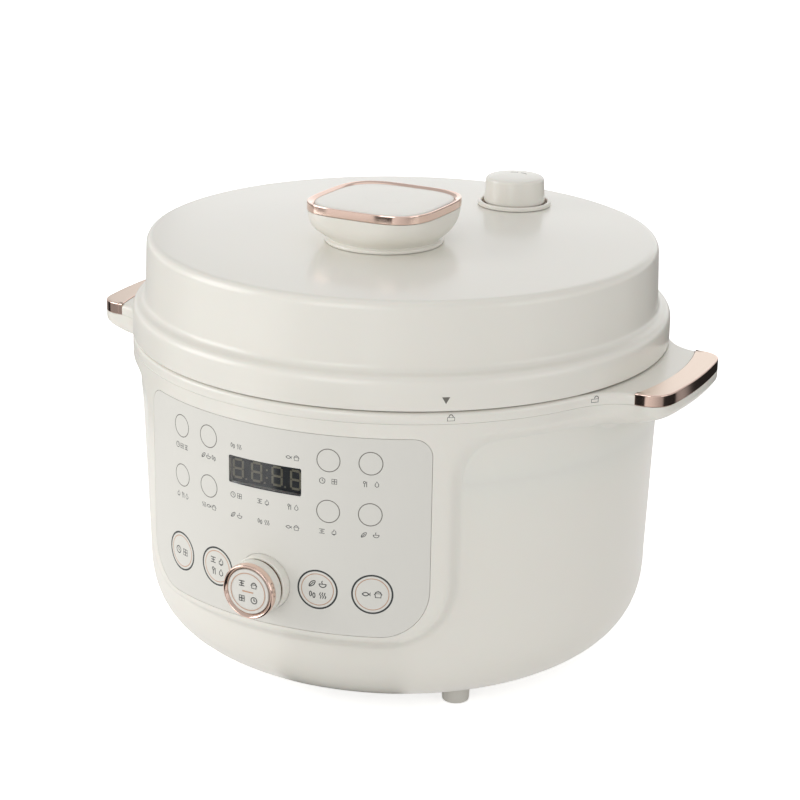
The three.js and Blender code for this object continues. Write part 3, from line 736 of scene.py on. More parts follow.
def panel_point(across, height, radius):
    """A point on the panel's cylinder: across is the arc length from its middle."""
    turn = across / PANEL_RADIUS
    return (radius * math.sin(turn), -radius * math.cos(turn), height)


def rounded_span(half, low, high, low_corner, high_corner, rows):
    """Rows of (height, half width) down a plate with rounded corners."""
    spans = []
    for k in range(rows + 1):
        turn = math.pi / 2 * k / rows
        spans.append((low + low_corner * (1 - math.cos(turn)), half - low_corner * (1 - math.sin(turn))))
    steps = max(int((high - low - low_corner - high_corner) / 6.0), 1)
    for k in range(1, steps):
        spans.append((low + low_corner + (high - low - low_corner - high_corner) * k / steps, half))
    for k in range(rows + 1):
        turn = math.pi / 2 * (1 - k / rows)
        spans.append((high - high_corner * (1 - math.cos(turn)), half - high_corner * (1 - math.sin(turn))))
    return spans


def bent_sheet(draft, half, low, high, low_corner, high_corner, near, far, columns=64):
    """A closed sheet that follows the panel's cylinder between two radii."""
    rows = []
    for height, reach in rounded_span(half, low, high, low_corner, high_corner, 12):
        front = [panel_point(reach * (2 * k / columns - 1), height, far) for k in range(columns + 1)]
        rear = [panel_point(reach * (1 - 2 * k / columns), height, near) for k in range(columns + 1)]
        rows.append(front + rear)
    draft.rows(rows)
    draft.cap(rows[0])
    draft.cap(rows[-1])


FILM_SIZE = (92.6, 63.5, 176.5, 27.0, 10.0)
WINDOW_SIZE = (22.4, 140.6, 155.9, 0.8, 0.8)


def grown(size, gap):
    half, low, high, low_corner, high_corner = size
    return half + gap, low - gap, high + gap, low_corner + gap, high_corner + gap


def sheet_cutter(size, near, far):
    draft = Draft()
    bent_sheet(draft, *size, near, far)
    return piece("cutter", draft, [])


def forward_cutter(radius, near, far, facets=96):
    """A round bar along the dial's axis, for cutting."""
    draft = Draft()
    ring = lambda y: [(radius * math.cos(2 * math.pi * k / facets), y,
                       DIAL_HEIGHT + radius * math.sin(2 * math.pi * k / facets)) for k in range(facets)]
    draft.prism(ring(-near), ring(-far))
    return piece("cutter", draft, [])


def block(draft, low, high, bevel=0.0):
    """A box with bevelled corners, as a stack of rows."""
    def row(inset, height):
        x0, y0, x1, y1 = low[0] + inset, low[1] + inset, high[0] - inset, high[1] - inset
        b = bevel
        return [(x0 + b, y0, height), (x1 - b, y0, height), (x1, y0 + b, height), (x1, y1 - b, height),
                (x1 - b, y1, height), (x0 + b, y1, height), (x0, y1 - b, height), (x0, y0 + b, height)]
    if not bevel:
        flat = lambda z: [(low[0], low[1], z), (high[0], low[1], z),
                          (high[0], high[1], z), (low[0], high[1], z)]
        draft.prism(flat(low[2]), flat(high[2]))
        return
    rows = [row(bevel, low[2]), row(0.0, low[2] + bevel), row(0.0, high[2] - bevel), row(bevel, high[2])]
    draft.rows(rows)
    draft.cap(rows[0])
    draft.cap(rows[-1])


def box_cutter(low, high):
    draft = Draft()
    block(draft, low, high)
    return piece("cutter", draft, [])


# ---------- printed marks ----------

def arc(x, y, wide, tall, start, end, steps=16):
    turns = [math.radians(start + (end - start) * k / steps) for k in range(steps + 1)]
    return [(x + wide * math.cos(t), y + tall * math.sin(t)) for t in turns]


SIGNS = {
    "bowl": [arc(0, 0.05, 0.45, 0.42, 180, 360), [(-0.48, 0.05), (0.48, 0.05)],
             arc(0, 0.3, 0.1, 0.16, 90, 270, 6)],
    "steam": [[(-0.3, -0.4), (-0.18, -0.15), (-0.38, 0.12), (-0.26, 0.4)],
              [(0, -0.4), (0.12, -0.15), (-0.08, 0.12),
              (0.04, 0.4)], [(0.3, -0.4), (0.42, -0.15), (0.22, 0.12), (0.34, 0.4)]],
    "flame": [[(0, 0.48), (0.32, 0.08), (0.3, -0.26), (0, -0.45),
               (-0.3, -0.26), (-0.3, 0.06), (-0.1, 0.1), (0, 0.48)],
              arc(0, -0.2, 0.12, 0.16, 200, 340, 6)],
    "clock": [arc(0, 0, 0.44, 0.44, 0, 360, 20), [(0, 0.28), (0, 0), (0.2, -0.1)]],
    "drop": [[(0, 0.48), (0.28, 0.02), (0.26, -0.26), (0, -0.42), (-0.26, -0.26), (-0.28, 0.02), (0, 0.48)]],
    "leaf": [arc(0.4, -0.4, 0.8, 0.8, 90, 180, 8), arc(-0.4, 0.4, 0.8, 0.8, 270, 360, 8),
             [(-0.4, -0.4), (0.2, 0.2)]],
    "pot": [[(-0.36, 0.12), (-0.32, -0.38), (0.32, -0.38), (0.36, 0.12), (-0.36, 0.12)],
            [(-0.48, 0.0), (-0.36, 0.0)],
            [(0.36, 0.0), (0.48, 0.0)], arc(0, 0.16, 0.32, 0.2, 0, 180, 8), [(0, 0.36), (0, 0.46)]],
    "grain": [arc(-0.2, 0.08, 0.14, 0.32, 0, 360, 12), arc(0.24, -0.08, 0.14, 0.32, 0, 360, 12)],
    "spoon": [arc(0, 0.26, 0.16, 0.2, -90, 270, 10), [(0, 0.06), (0, -0.46)], [(0.34, 0.4), (0.34, -0.46)]],
    "bars": [[(-0.42, 0.34), (0.42, 0.34)], [(-0.3, 0.02), (0.3, 0.02)], [(-0.42, -0.32), (0.42, -0.32)],
             [(0, 0.34), (0, -0.32)]],
    "grid": [[(-0.38, 0.38), (0.38, 0.38), (0.38, -0.38), (-0.38, -0.38), (-0.38, 0.38)],
             [(-0.38, 0), (0.38, 0)],
             [(0, 0.38), (0, -0.38)]],
    "fish": [arc(-0.08, -0.24, 0.42, 0.46, 20, 160, 8), arc(-0.08, 0.24, 0.42, 0.46, 200, 340, 8),
             [(0.3, -0.06), (0.48, 0.2), (0.48, -0.2), (0.3, 0.06)]],
}
SIGN_NAMES = sorted(SIGNS)


def signs_row(names, across, height, size, pitch):
    """Small pictograms side by side, as flat paths."""
    paths = []
    for k, name in enumerate(names):
        middle = across + (k - (len(names) - 1) / 2) * pitch
        for stroke in SIGNS[name]:
            paths.append([(middle + x * size, height + y * size) for x, y in stroke])
    return paths


def ring_path(across, height, radius, steps=64):
    return arc(across, height, radius, radius, 0, 360, steps)


def printed_lines_tree():
    """Gives every incoming path a round line of the named width."""
    found = bpy.data.node_groups.get("printed_lines")
    if found:
        return found
    tree, start, end = new_tree("printed_lines", [("Width", "Float"), ("Sides", "Int"),
                                                  ("Finish", "Material")])
    nodes, links = tree.nodes, tree.links
    paths = nodes.new("GeometryNodeMeshToCurve")
    section = nodes.new("GeometryNodeCurvePrimitiveCircle")
    sweep = nodes.new("GeometryNodeCurveToMesh")
    sweep.inputs["Fill Caps"].default_value = True
    half = math_node(nodes, links, "DIVIDE", start.outputs["Width"], 2.0)
    links.new(start.outputs["Geometry"], paths.inputs["Mesh"])
    links.new(start.outputs["Sides"], section.inputs["Resolution"])
    links.new(half, section.inputs["Radius"])
    links.new(paths.outputs["Curve"], sweep.inputs["Curve"])
    links.new(section.outputs["Curve"], sweep.inputs["Profile Curve"])
    return close_tree(tree, start, end, sweep.outputs["Mesh"])


def printed(name, paths, width, material, body, surface):
    """Lines of print laid on a surface, given as a function of (across, height, lift)."""
    mesh = bpy.data.meshes.new(name)
    corners, edges = [], []
    for path in paths:
        closed = math.dist(path[0], path[-1]) < 1e-6
        points = path[:-1] if closed else path
        first = len(corners)
        corners += [(x * MM, y * MM, 0.0) for x, y in points]
        edges += [(first + k, first + k + 1) for k in range(len(points) - 1)]
        if closed:
            edges.append((first + len(points) - 1, first))
    mesh.from_pydata(corners, edges, [])
    made = run_tree(link(name, mesh), printed_lines_tree(),
                    {"Width": width * MM, "Sides": 6, "Finish": material})
    flatten = 0.16
    for vertex in made.data.vertices:
        across, height, lift = (c / MM for c in vertex.co)
        vertex.co = [c * MM for c in surface(across, height, lift * flatten)]
    tidy(made.data)
    return settle(made, body)


def printed_shape(name, shapes, material, body, surface, thickness=0.06):
    """Filled print: closed outlines raised a hair above the surface."""
    draft = Draft()
    for shape in shapes:
        draft.prism([surface(x, y, -thickness) for x, y in shape],
                    [surface(x, y, thickness) for x, y in shape])
    return settle(piece(name, draft, [material]), body)


def on_film(across, height, lift):
    return panel_point(across, height, PANEL_RADIUS + lift)


def on_dial(across, height, lift):
    return (across, -(172.25 + lift), DIAL_HEIGHT + height)


# ---------- operators ----------

# painted reflection: brightness of the bands that only polished surfaces see on the floor, near and far:
# (angle round the object in degrees from +X, brightness)
NEAR_PAINTED_REFLECTION = [(-180, 0.9), (-98, 0.9), (-94, 0.02), (-62, 0.02), (-58, 0.8), (180, 0.9)]
FAR_PAINTED_REFLECTION = [(-180, 0.02), (-168, 0.02), (-164, 0.32), (-134, 0.32), (-130, 0.9), (-109, 0.9), (-107, 0.02),
             (-80, 0.02), (-78, 0.85), (-50, 0.65), (-14, 0.35), (-5, 0.03), (40, 0.02), (43, 0.4), (47, 0.3),
             (50, 0.02), (85, 0.02), (100, 0.6), (170, 0.3), (180, 0.02)]


class COOKER_OT_stage(bpy.types.Operator):
    """Sets the pale floor, the soft studio light and the camera"""
    bl_idname = "cooker.stage"
    bl_label = "Stage"

    def execute(self, context):
        scene = context.scene
        scene.view_settings.view_transform = "Standard"
        draft = Draft()
        draft.add_face(0, 1, 2, 3)
        reach, level = FLOOR_REACH, FLOOR_LEVEL
        draft.corners = [(-reach, -reach, level), (reach, -reach, level),
                         (reach, reach, level), (-reach, reach, level)]
        floor = piece("floor", draft, [self.floor_finish()])
        floor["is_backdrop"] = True
        self.add_world(scene)
        for name, place, size, power in LIGHTS:
            self.add_light(scene, name, place, size, power)
        self.add_camera(scene)
        return {"FINISHED"}

    def floor_finish(self):
        """White to the eye and to the light it throws back; where a polished surface mirrors it, it shows a
        painted reflection of black and bright bands round the object instead.
        """
        material = finish("floor_with_painted_reflection", (0.9, 0.9, 0.9), "moulded_grain", roughness=0.9, bump=0.0,
                          drift=0.004)
        nodes, links = material.node_tree.nodes, material.node_tree.links
        shader = principled(material)
        ray, strength = nodes.new("ShaderNodeLightPath"), nodes.new("ShaderNodeMapRange")
        links.new(ray.outputs["Is Camera Ray"], strength.inputs["Value"])
        strength.inputs["To Min"].default_value = 0.0
        strength.inputs["To Max"].default_value = FLOOR_GLOW
        shader.inputs["Emission Color"].default_value = (1.0, 1.0, 1.0, 1.0)
        links.new(strength.outputs["Result"], shader.inputs["Emission Strength"])
        mirror = nodes.new("ShaderNodeMixShader")
        # painted reflection: this emission, seen only by glossy rays, paints black and bright bands on the
        # polished surfaces
        painted_reflection = nodes.new("ShaderNodeEmission")
        place, around = nodes.new("ShaderNodeTexCoord"), nodes.new("ShaderNodeTexGradient")
        around.gradient_type = "RADIAL"
        reach, beyond = nodes.new("ShaderNodeVectorMath"), nodes.new("ShaderNodeMath")
        choose = nodes.new("ShaderNodeMix")
        reach.operation, beyond.operation, choose.data_type = "LENGTH", "GREATER_THAN", "RGBA"
        beyond.inputs[1].default_value = FLOOR_SPLIT
        links.new(place.outputs["Object"], around.inputs["Vector"])
        links.new(place.outputs["Object"], reach.inputs[0])
        links.new(reach.outputs["Value"], beyond.inputs[0])
        links.new(beyond.outputs["Value"], choose.inputs["Factor"])
        for painted_bands, socket in ((NEAR_PAINTED_REFLECTION, "A"), (FAR_PAINTED_REFLECTION, "B")):
            ramp = nodes.new("ShaderNodeValToRGB")
            stops = ramp.color_ramp.elements
            for _ in range(len(painted_bands) - 2):
                stops.new(0.5)
            for stop, (turn, level) in zip(stops, painted_bands):
                stop.position, stop.color = (turn + 180) / 360, (level, level * 0.97, level * 0.95, 1.0)
            links.new(around.outputs["Fac"], ramp.inputs["Fac"])
            target = next(i for i in choose.inputs if i.name == socket and i.type == "RGBA")
            links.new(ramp.outputs["Color"], target)
        links.new(next(o for o in choose.outputs if o.type == "RGBA"), painted_reflection.inputs["Color"])
        output = next(n for n in nodes if n.type == "OUTPUT_MATERIAL")
        links.new(ray.outputs["Is Glossy Ray"], mirror.inputs["Fac"])
        links.new(shader.outputs["BSDF"], mirror.inputs[1])
        links.new(painted_reflection.outputs["Emission"], mirror.inputs[2])
        links.new(mirror.outputs["Shader"], output.inputs["Surface"])
        return material

    def add_world(self, scene):
        world = bpy.data.worlds.new("studio")
        world.use_nodes = True
        nodes, links = world.node_tree.nodes, world.node_tree.links
        place = nodes.new("ShaderNodeTexCoord")
        split = nodes.new("ShaderNodeSeparateXYZ")
        ramp = nodes.new("ShaderNodeValToRGB")
        stops = ramp.color_ramp.elements
        for stop, position, level in zip(stops, (0.0, SKY_TURN), (SKY_LOW, SKY_HIGH)):
            stop.position, stop.color = position, (level, level, level, 1.0)
        links.new(place.outputs["Generated"], split.inputs["Vector"])
        links.new(split.outputs["Z"], ramp.inputs["Fac"])
        links.new(ramp.outputs["Color"], nodes["Background"].inputs["Color"])
        scene.world = world

    def add_light(self, scene, name, place, size, power):
        lamp = bpy.data.lights.new(name, "AREA")
        lamp.shape, lamp.size, lamp.energy = "SQUARE", size, power
        made = bpy.data.objects.new(name, lamp)
        made.location = place
        made.rotation_euler = (Vector(LIGHT_AIM) - Vector(place)).to_track_quat("-Z", "Y").to_euler()
        scene.collection.objects.link(made)

    def add_camera(self, scene):
        lens = bpy.data.cameras.new("camera")
        lens.sensor_width, lens.lens = CAMERA_SENSOR, CAMERA_LENS
        made = bpy.data.objects.new("camera", lens)
        azimuth, elevation = math.radians(CAMERA_TURN), math.radians(CAMERA_RISE)
        away = Vector((math.sin(azimuth) * math.cos(elevation), -math.cos(azimuth) * math.cos(elevation),
                       math.sin(elevation)))
        turn = (-away).to_track_quat("-Z", "Y").to_matrix().to_4x4()
        roll = Matrix.Rotation(math.radians(CAMERA_ROLL), 4, "Z")
        made.matrix_world = Matrix.Translation(Vector(CAMERA_AIM) + away * CAMERA_DISTANCE) @ turn @ roll
        scene.collection.objects.link(made)
        scene.camera = made


class COOKER_OT_shell(bpy.types.Operator):
    """Builds the outer shell with its raised front, the lower handles and its openings"""
    bl_idname = "cooker.shell"
    bl_label = "Outer shell"

    def execute(self, context):
        draft = Draft()
        draft.rows(shell_rows(), loop_rows=True)
        shell = piece("outer_shell", draft, [shell_white()], sharp=32)
        socket_low, socket_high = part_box("inlet_socket")
        gap = 0.4
        carve(shell,
              sheet_cutter(grown(FILM_SIZE, 0.25), PANEL_RADIUS - 0.9, PANEL_RADIUS + 3.0),
              sheet_cutter(grown(WINDOW_SIZE, 0.2), 138.0, PANEL_RADIUS + 2.0),
              forward_cutter(16.3, 154.2, 180.0), forward_cutter(11.6, 120.0, 180.0),
              box_cutter((socket_low.x / MM - gap, 120.0, socket_low.z / MM - gap),
                         (socket_high.x / MM + gap, 160.0, socket_high.z / MM + gap)))
        settle(shell, "base", "outer_body")
        return {"FINISHED"}


def steady_turns(row):
    """The angles of a closed row's points, made to grow all the way round."""
    turns = [math.atan2(row[0][1], row[0][0])]
    for x, y, _ in row[1:]:
        step = (math.atan2(y, x) - turns[-1] + math.pi) % (2 * math.pi) - math.pi
        turns.append(turns[-1] + step)
    sign = 1 if turns[-1] > turns[0] else -1
    return [turn * sign for turn in sorted(turn * sign for turn in turns)]


def band_rows():
    """The thin band round the rim, the tops of the handles under their caps, and the ledge with its lip."""
    outline = shell_outline()
    normals = edge_normals(outline)
    soft = bpy.context.scene.cooker_sizes.rim_softness / MM
    rows = []
    edge = CAP_INNER - 0.3

    def section(ring_inset, ring_height, cap_inset, cap_height):
        row = []
        for p, n in zip(outline, normals):
            inset, height = (cap_inset, cap_height) if tip_share(p.length) else (ring_inset, ring_height)
            if inset == "edge":
                q = p * edge / p.length
                limit = EAR_HALF - ring_inset
                if abs(q.y) > limit:
                    beside = math.sqrt(edge ** 2 - limit ** 2)
                    q = Vector((math.copysign(beside, q.x), math.copysign(limit, q.y)))
            else:
                q = p - n * inset
            row.append((q.x, q.y, height))
        rows.append(row)

    def circle(radius, height):
        rows.append([(radius * math.cos(turn), radius * math.sin(turn), height) for turn in turns])

    under = CAP_WALL + 0.3
    section(0.15, RIM_BOTTOM, under, RIM_BOTTOM)
    section(0.0, RIM_BOTTOM + 0.5, under, RIM_BOTTOM + 0.5)
    for k in range(5):
        turn = math.pi / 2 * k / 4
        section(soft * (1 - math.cos(turn)), RIM_TOP - soft * (1 - math.sin(turn)), under, 190.0)
    section(soft + 0.2, RIM_TOP, "edge", 190.0)
    section(soft + 0.4, RIM_TOP, "edge", RIM_TOP - 0.2)
    section(soft + 0.6, RIM_TOP, "edge", RIM_TOP)
    turns = steady_turns(rows[-1])
    circle(152.3, RIM_TOP)
    circle(151.5, RIM_TOP - 0.6)
    circle(151.3, RIM_TOP - 1.5)
    circle(151.3, 187.2)
    circle(123.9, 187.2)
    circle(123.5, 187.7)
    circle(123.5, 194.3)
    circle(123.1, 194.7)
    circle(120.9, 194.7)
    circle(120.5, 194.3)
    circle(120.5, RIM_BOTTOM)
    return rows


class COOKER_OT_rim(bpy.types.Operator):
    """Builds the rim band and the plated caps of the two handles"""
    bl_idname = "cooker.rim"
    bl_label = "Rim and handle caps"

    def execute(self, context):
        draft = Draft()
        draft.rows(band_rows(), loop_rows=True)
        settle(piece("rim_band", draft, [shell_white()], sharp=32), "base", "top_frame")
        for side, name in ((1, "right"), (-1, "left")):
            settle(self.cap_piece(side, name), "base", "handle_trim_" + name)
        self.marks()
        return {"FINISHED"}

    def cap_piece(self, side, name):
        outline = [p for p in rim_outline() if p.length > CAP_INNER and p.x > 0]
        outline.sort(key=lambda p: math.atan2(p.y, p.x))
        before = [p for p in rim_outline() if 160 < p.length <= CAP_INNER and p.x > 0 and p.y < 0]
        near = max(before, key=lambda p: p.length)
        share = (CAP_INNER - near.length) / (outline[0].length - near.length)
        start = near.lerp(outline[0], share)
        outline = [start] + outline + [Vector((start.x, -start.y))]
        normals = [outline[min(i + 1, len(outline) - 1)] - outline[max(i - 1, 0)]
                   for i in range(len(outline))]
        normals = [Vector((n.y, -n.x)).normalized() for n in normals]
        rows = []
        rounding = 0.7
        for p, n in zip(outline, normals):
            inner = p * CAP_INNER / p.length
            def at(inset):
                q = p - n * inset
                return q if q.length > CAP_INNER + 0.02 else q * (CAP_INNER + 0.02) / q.length
            loop = [(inner, 190.3), (inner, 191.2), (inner + p.normalized() * 0.3, 191.5)]
            loop += [(at(2.6), 191.5), (at(rounding), 191.5)]
            for k in range(1, 5):
                turn = math.pi / 2 * k / 4
                loop.append((at(rounding * (1 - math.sin(turn))), 191.5 - rounding * (1 - math.cos(turn))))
            loop += [(at(0.0), 190.2), (at(0.0), RIM_BOTTOM + 0.7), (at(0.0), RIM_BOTTOM + 0.3),
                     (at(0.3), RIM_BOTTOM), (at(CAP_WALL), RIM_BOTTOM), (at(CAP_WALL), 190.3)]
            rows.append([(side * q.x, q.y, z) for q, z in loop])
        draft = Draft()
        draft.rows(rows)
        draft.cap(rows[0])
        draft.cap(rows[-1])
        width = len(rows[0])
        draft.marks = [1 if (i % width) in (2, 3) else 0 for i in range(len(draft.faces) - 2)] + [0, 0]
        return piece("handle_cap_" + name, draft, [rose_gold(), satin_gold()], sharp=28)

    def marks(self):
        def at(turn):
            middle = math.radians(turn) * PANEL_RADIUS
            reach = lambda x: rim_reach(turn + math.degrees(x / PANEL_RADIUS))
            return lambda x, y, lift: panel_point(middle + x, y, reach(x) + lift)
        for name, turn, swing in (("lock_closed", 37.4, 0.0), ("lock_open", 68.7, 0.9)):
            body = [[(-1.9, 186.6), (1.9, 186.6), (1.9, 188.5), (-1.9, 188.5), (-1.9, 186.6)]]
            bow = arc(swing, 188.5, 1.15, 1.5, 0, 180, 12)
            bow = ([(1.15 + swing, 188.5)] + bow) if not swing else bow[:-1] + [(swing - 1.15, 189.0)]
            printed(name, body + [bow], 0.36, dark_ink(), "base", at(turn))


class COOKER_OT_panel(bpy.types.Operator):
    """Builds the control film, its print, the window and the digits behind it"""
    bl_idname = "cooker.panel"
    bl_label = "Control panel"

    def execute(self, context):
        draft = Draft()
        bent_sheet(draft, *FILM_SIZE, PANEL_RADIUS - 0.6, PANEL_RADIUS, columns=120)
        film = piece("panel_film", draft, [panel_grey()])
        carve(film, sheet_cutter(grown(WINDOW_SIZE, 0.15), 150.0, PANEL_RADIUS + 2.0),
              forward_cutter(16.15, 150.0, 170.0))
        settle(film, "base", "control_film")
        draft = Draft()
        bent_sheet(draft, *WINDOW_SIZE, PANEL_RADIUS - 2.4, PANEL_RADIUS, columns=24)
        settle(piece("window", draft, [smoked_glass()]), "base", "display_window")
        self.display_module()
        self.key_print(context.scene.cooker_sizes.print_line / MM)
        for node in ("control_board", "power_board"):
            paint(node, green_board())
        for node in ("encoder_housing", "pressure_switch", "thermal_cutout"):
            paint(node, black_plastic())
        return {"FINISHED"}

    def display_module(self):
        draft = Draft()
        low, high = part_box("display_module")
        front = -low.y / MM
        block(draft, tuple(low / MM), tuple(high / MM), bevel=0.3)
        settle(piece("display_face", draft, [display_black()]), "base", "display_module")
        digits = Draft()
        wide, tall, bar, height = 6.9, 11.4, 1.25, 148.2

        def segment(x0, x1, z0, z1):
            block(digits, (x0, -front - 0.12, z0), (x1, -front + 0.1, z1))
        for k in range(4):
            middle = (k - 1.5) * 11.4 - (0.6 if k < 2 else -0.6)
            left, right = middle - wide / 2, middle + wide / 2
            low_z, high_z = height - tall / 2, height + tall / 2
            for level in (low_z, height - bar / 2, high_z - bar):
                segment(left + bar * 0.9, right - bar * 0.9, level, level + bar)
            for side in (left, right - bar):
                segment(side, side + bar, low_z + bar * 0.8, height - 0.25)
                segment(side, side + bar, height + 0.25, high_z - bar * 0.8)
            if k != 3:
                segment(right + 1.0, right + 2.0, low_z, low_z + 1.0)
        for level in (height - 2.6, height + 1.7):
            segment(-0.5, 0.5, level, level + 1.0)
        settle(piece("display_digits", digits, [ghost_segment()]), "base")

    def key_print(self, thin):
        reach = lambda turn: math.radians(turn) * PANEL_RADIUS
        small, labels = [], []
        names = SIGN_NAMES
        order = iter(range(1000))
        pick = lambda count: [names[(next(order) * 5 + 2) % len(names)] for _ in range(count)]
        for turn, count in ((-22.17, 3), (-13.82, 3), (13.82, 2), (22.17, 2)):
            for height in (162.7, 134.0):
                small.append(ring_path(reach(turn), height, 6.3))
                pitch = 3.9 if count == 3 else 6.6
                labels += signs_row(pick(count), reach(turn), height - 11.6, 3.5, pitch)
        for across, height in ((-17.6, 161.7), (17.6, 161.7), (-17.6, 133.6), (0.0, 133.6), (17.6, 133.6),
                               (-17.6, 122.1), (0.0, 122.1), (17.6, 122.1)):
            labels += signs_row(pick(2), across, height, 3.5, 4.4)
        printed("small_key_rings", small, thin, soft_ink(), "base", on_film)
        printed("key_labels", labels, thin * 0.72, dark_ink(), "base", on_film)
        outer, inner, big = [], [], []
        for turn in (-22.76, -11.72, 11.72, 22.76):
            outer.append(ring_path(reach(turn), 88.4, 10.9))
            inner.append(ring_path(reach(turn), 88.4, 9.0))
            if abs(turn) > 15:
                big += signs_row(pick(2), reach(turn), 88.4, 4.6, 6.4)
            else:
                big += signs_row(pick(2), reach(turn), 91.6, 4.4, 5.9)
                big += signs_row(pick(2), reach(turn), 85.2, 4.4, 5.9)
        printed("large_key_rings", outer, 1.0, dark_ink(), "base", on_film)
        printed("large_key_inner_rings", inner, 0.45, gold_ink(), "base", on_film)
        printed("large_key_signs", big, 0.55, dark_ink(), "base", on_film)


def soft_ink():
    return finish("soft_ink", (0.16, 0.15, 0.13), "moulded_grain", roughness=0.5, bump=0.02, drift=0.05)


def paint(node, material):
    """Gives a frame node its finish."""
    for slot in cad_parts[node].material_slots:
        slot.material = material


class COOKER_OT_dial(bpy.types.Operator):
    """Builds the dial with its fixed collar, skirt, plated ring and printed face"""
    bl_idname = "cooker.dial"
    bl_label = "Dial"

    def execute(self, context):
        white, gold = shell_white(), rose_gold()
        turned("dial_collar", [(12.0, 154.6, 0), (16.0, 154.6, 0), (15.9, 161.0, 0.7), (14.4, 161.0, 0.4),
                               (14.4, 157.0, 0), (12.0, 157.0, 0)],
               white, "base", "knob_collar", forward=True, segments=96)
        turned("dial_skirt", [(0.0, 162.3, 0), (14.6, 162.3, 0.3), (15.3, 162.9, 0.4), (15.3, 168.3, 0.2),
                              (0.0, 168.3, 0)], white, "dial", "knob_skirt", forward=True, segments=96)
        turned("dial_ring", [(13.0, 168.6, 0), (15.3, 168.6, 0.3), (15.6, 169.4, 0.5), (15.5, 172.2, 0.9),
                             (14.8, 173.0, 0.5), (14.1, 172.6, 0.6), (13.0, 171.2, 0.3)], gold, "dial",
               "knob_ring", forward=True, segments=128, sharp=50)
        turned("dial_face", [(0.0, 168.6, 0), (12.7, 168.6, 0), (12.7, 172.0, 0.5), (0.0, 172.15, 0)],
               panel_grey(), "dial", "knob_face", forward=True, segments=96)
        # painted shade: a brown sleeve in the gap between collar and skirt stands in for the shade there
        turned("dial_shadow_gap", [(14.0, 158.2, 0), (14.3, 158.2, 0), (14.3, 162.1, 0), (14.0, 162.1, 0)],
               gap_painted_shade(), "dial", forward=True, segments=96)
        printed("dial_ring_print", [ring_path(0, 0, 10.6)], 0.4, gold_ink(), "dial", on_dial)
        printed("dial_dash", [[(-3.4, 0.0), (3.4, 0.0)]], 0.7, gold_ink(), "dial", on_dial)
        signs = signs_row(["bars", "pot"], 0.0, 4.3, 4.1, 7.6)
        signs += signs_row(["grid", "clock"], 0.0, -4.3, 4.1, 7.6)
        printed("dial_signs", signs, 0.45, dark_ink(), "dial", on_dial)
        paint("encoder_shaft", steel())
        return {"FINISHED"}


# painted shade: the brown of the sheets put in the gaps round the dial and the vent cap
def gap_painted_shade():
    return finish("gap_painted_shade", (0.16, 0.085, 0.04), "moulded_grain", roughness=0.5, bump=0.05)


class COOKER_OT_lid(bpy.types.Operator):
    """Builds the lid cover with its pointer"""
    bl_idname = "cooker.lid"
    bl_label = "Lid"

    def execute(self, context):
        top = LID_TOP
        turned("lid_shell", [(0, top, 0), (147.2, top, 5.0), (148.6, 211.2, 3.6), (156, 209.6, 5.0),
                             (156, 191.9, 0.6), (153, 191.9, 0.5), (153, 204.5, 1.0), (147.0, 210.8, 2.0),
                             (145.2, 214.0, 1.0), (144.0, top - 3, 3.0), (0, top - 3, 0)],
               shell_white(), "lid", "lid_cover", segments=224, sharp=60)
        middle = math.radians(36.35) * PANEL_RADIUS
        at = lambda x, y, lift: panel_point(middle + x, y, PANEL_RADIUS + lift)
        printed_shape("lid_pointer", [[(-2.1, 199.7), (0.0, 196.0), (2.1, 199.7)]], soft_ink(), "lid", at)
        return {"FINISHED"}


def squircle(half, power, steps=96):
    """A square outline with full round corners; power 2 gives a circle."""
    points = []
    for k in range(steps):
        turn = 2 * math.pi * k / steps
        points.append(tuple(half * math.copysign(abs(part) ** (2 / power), part)
                            for part in (math.cos(turn), math.sin(turn))))
    return points


def squircle_rows(sections, steps=128):
    """Rows for (half width, height, power) sections."""
    return [[(x + KNOB_PLACE.x, y + KNOB_PLACE.y, height) for x, y in squircle(half, power, steps)]
            for half, height, power in sections]


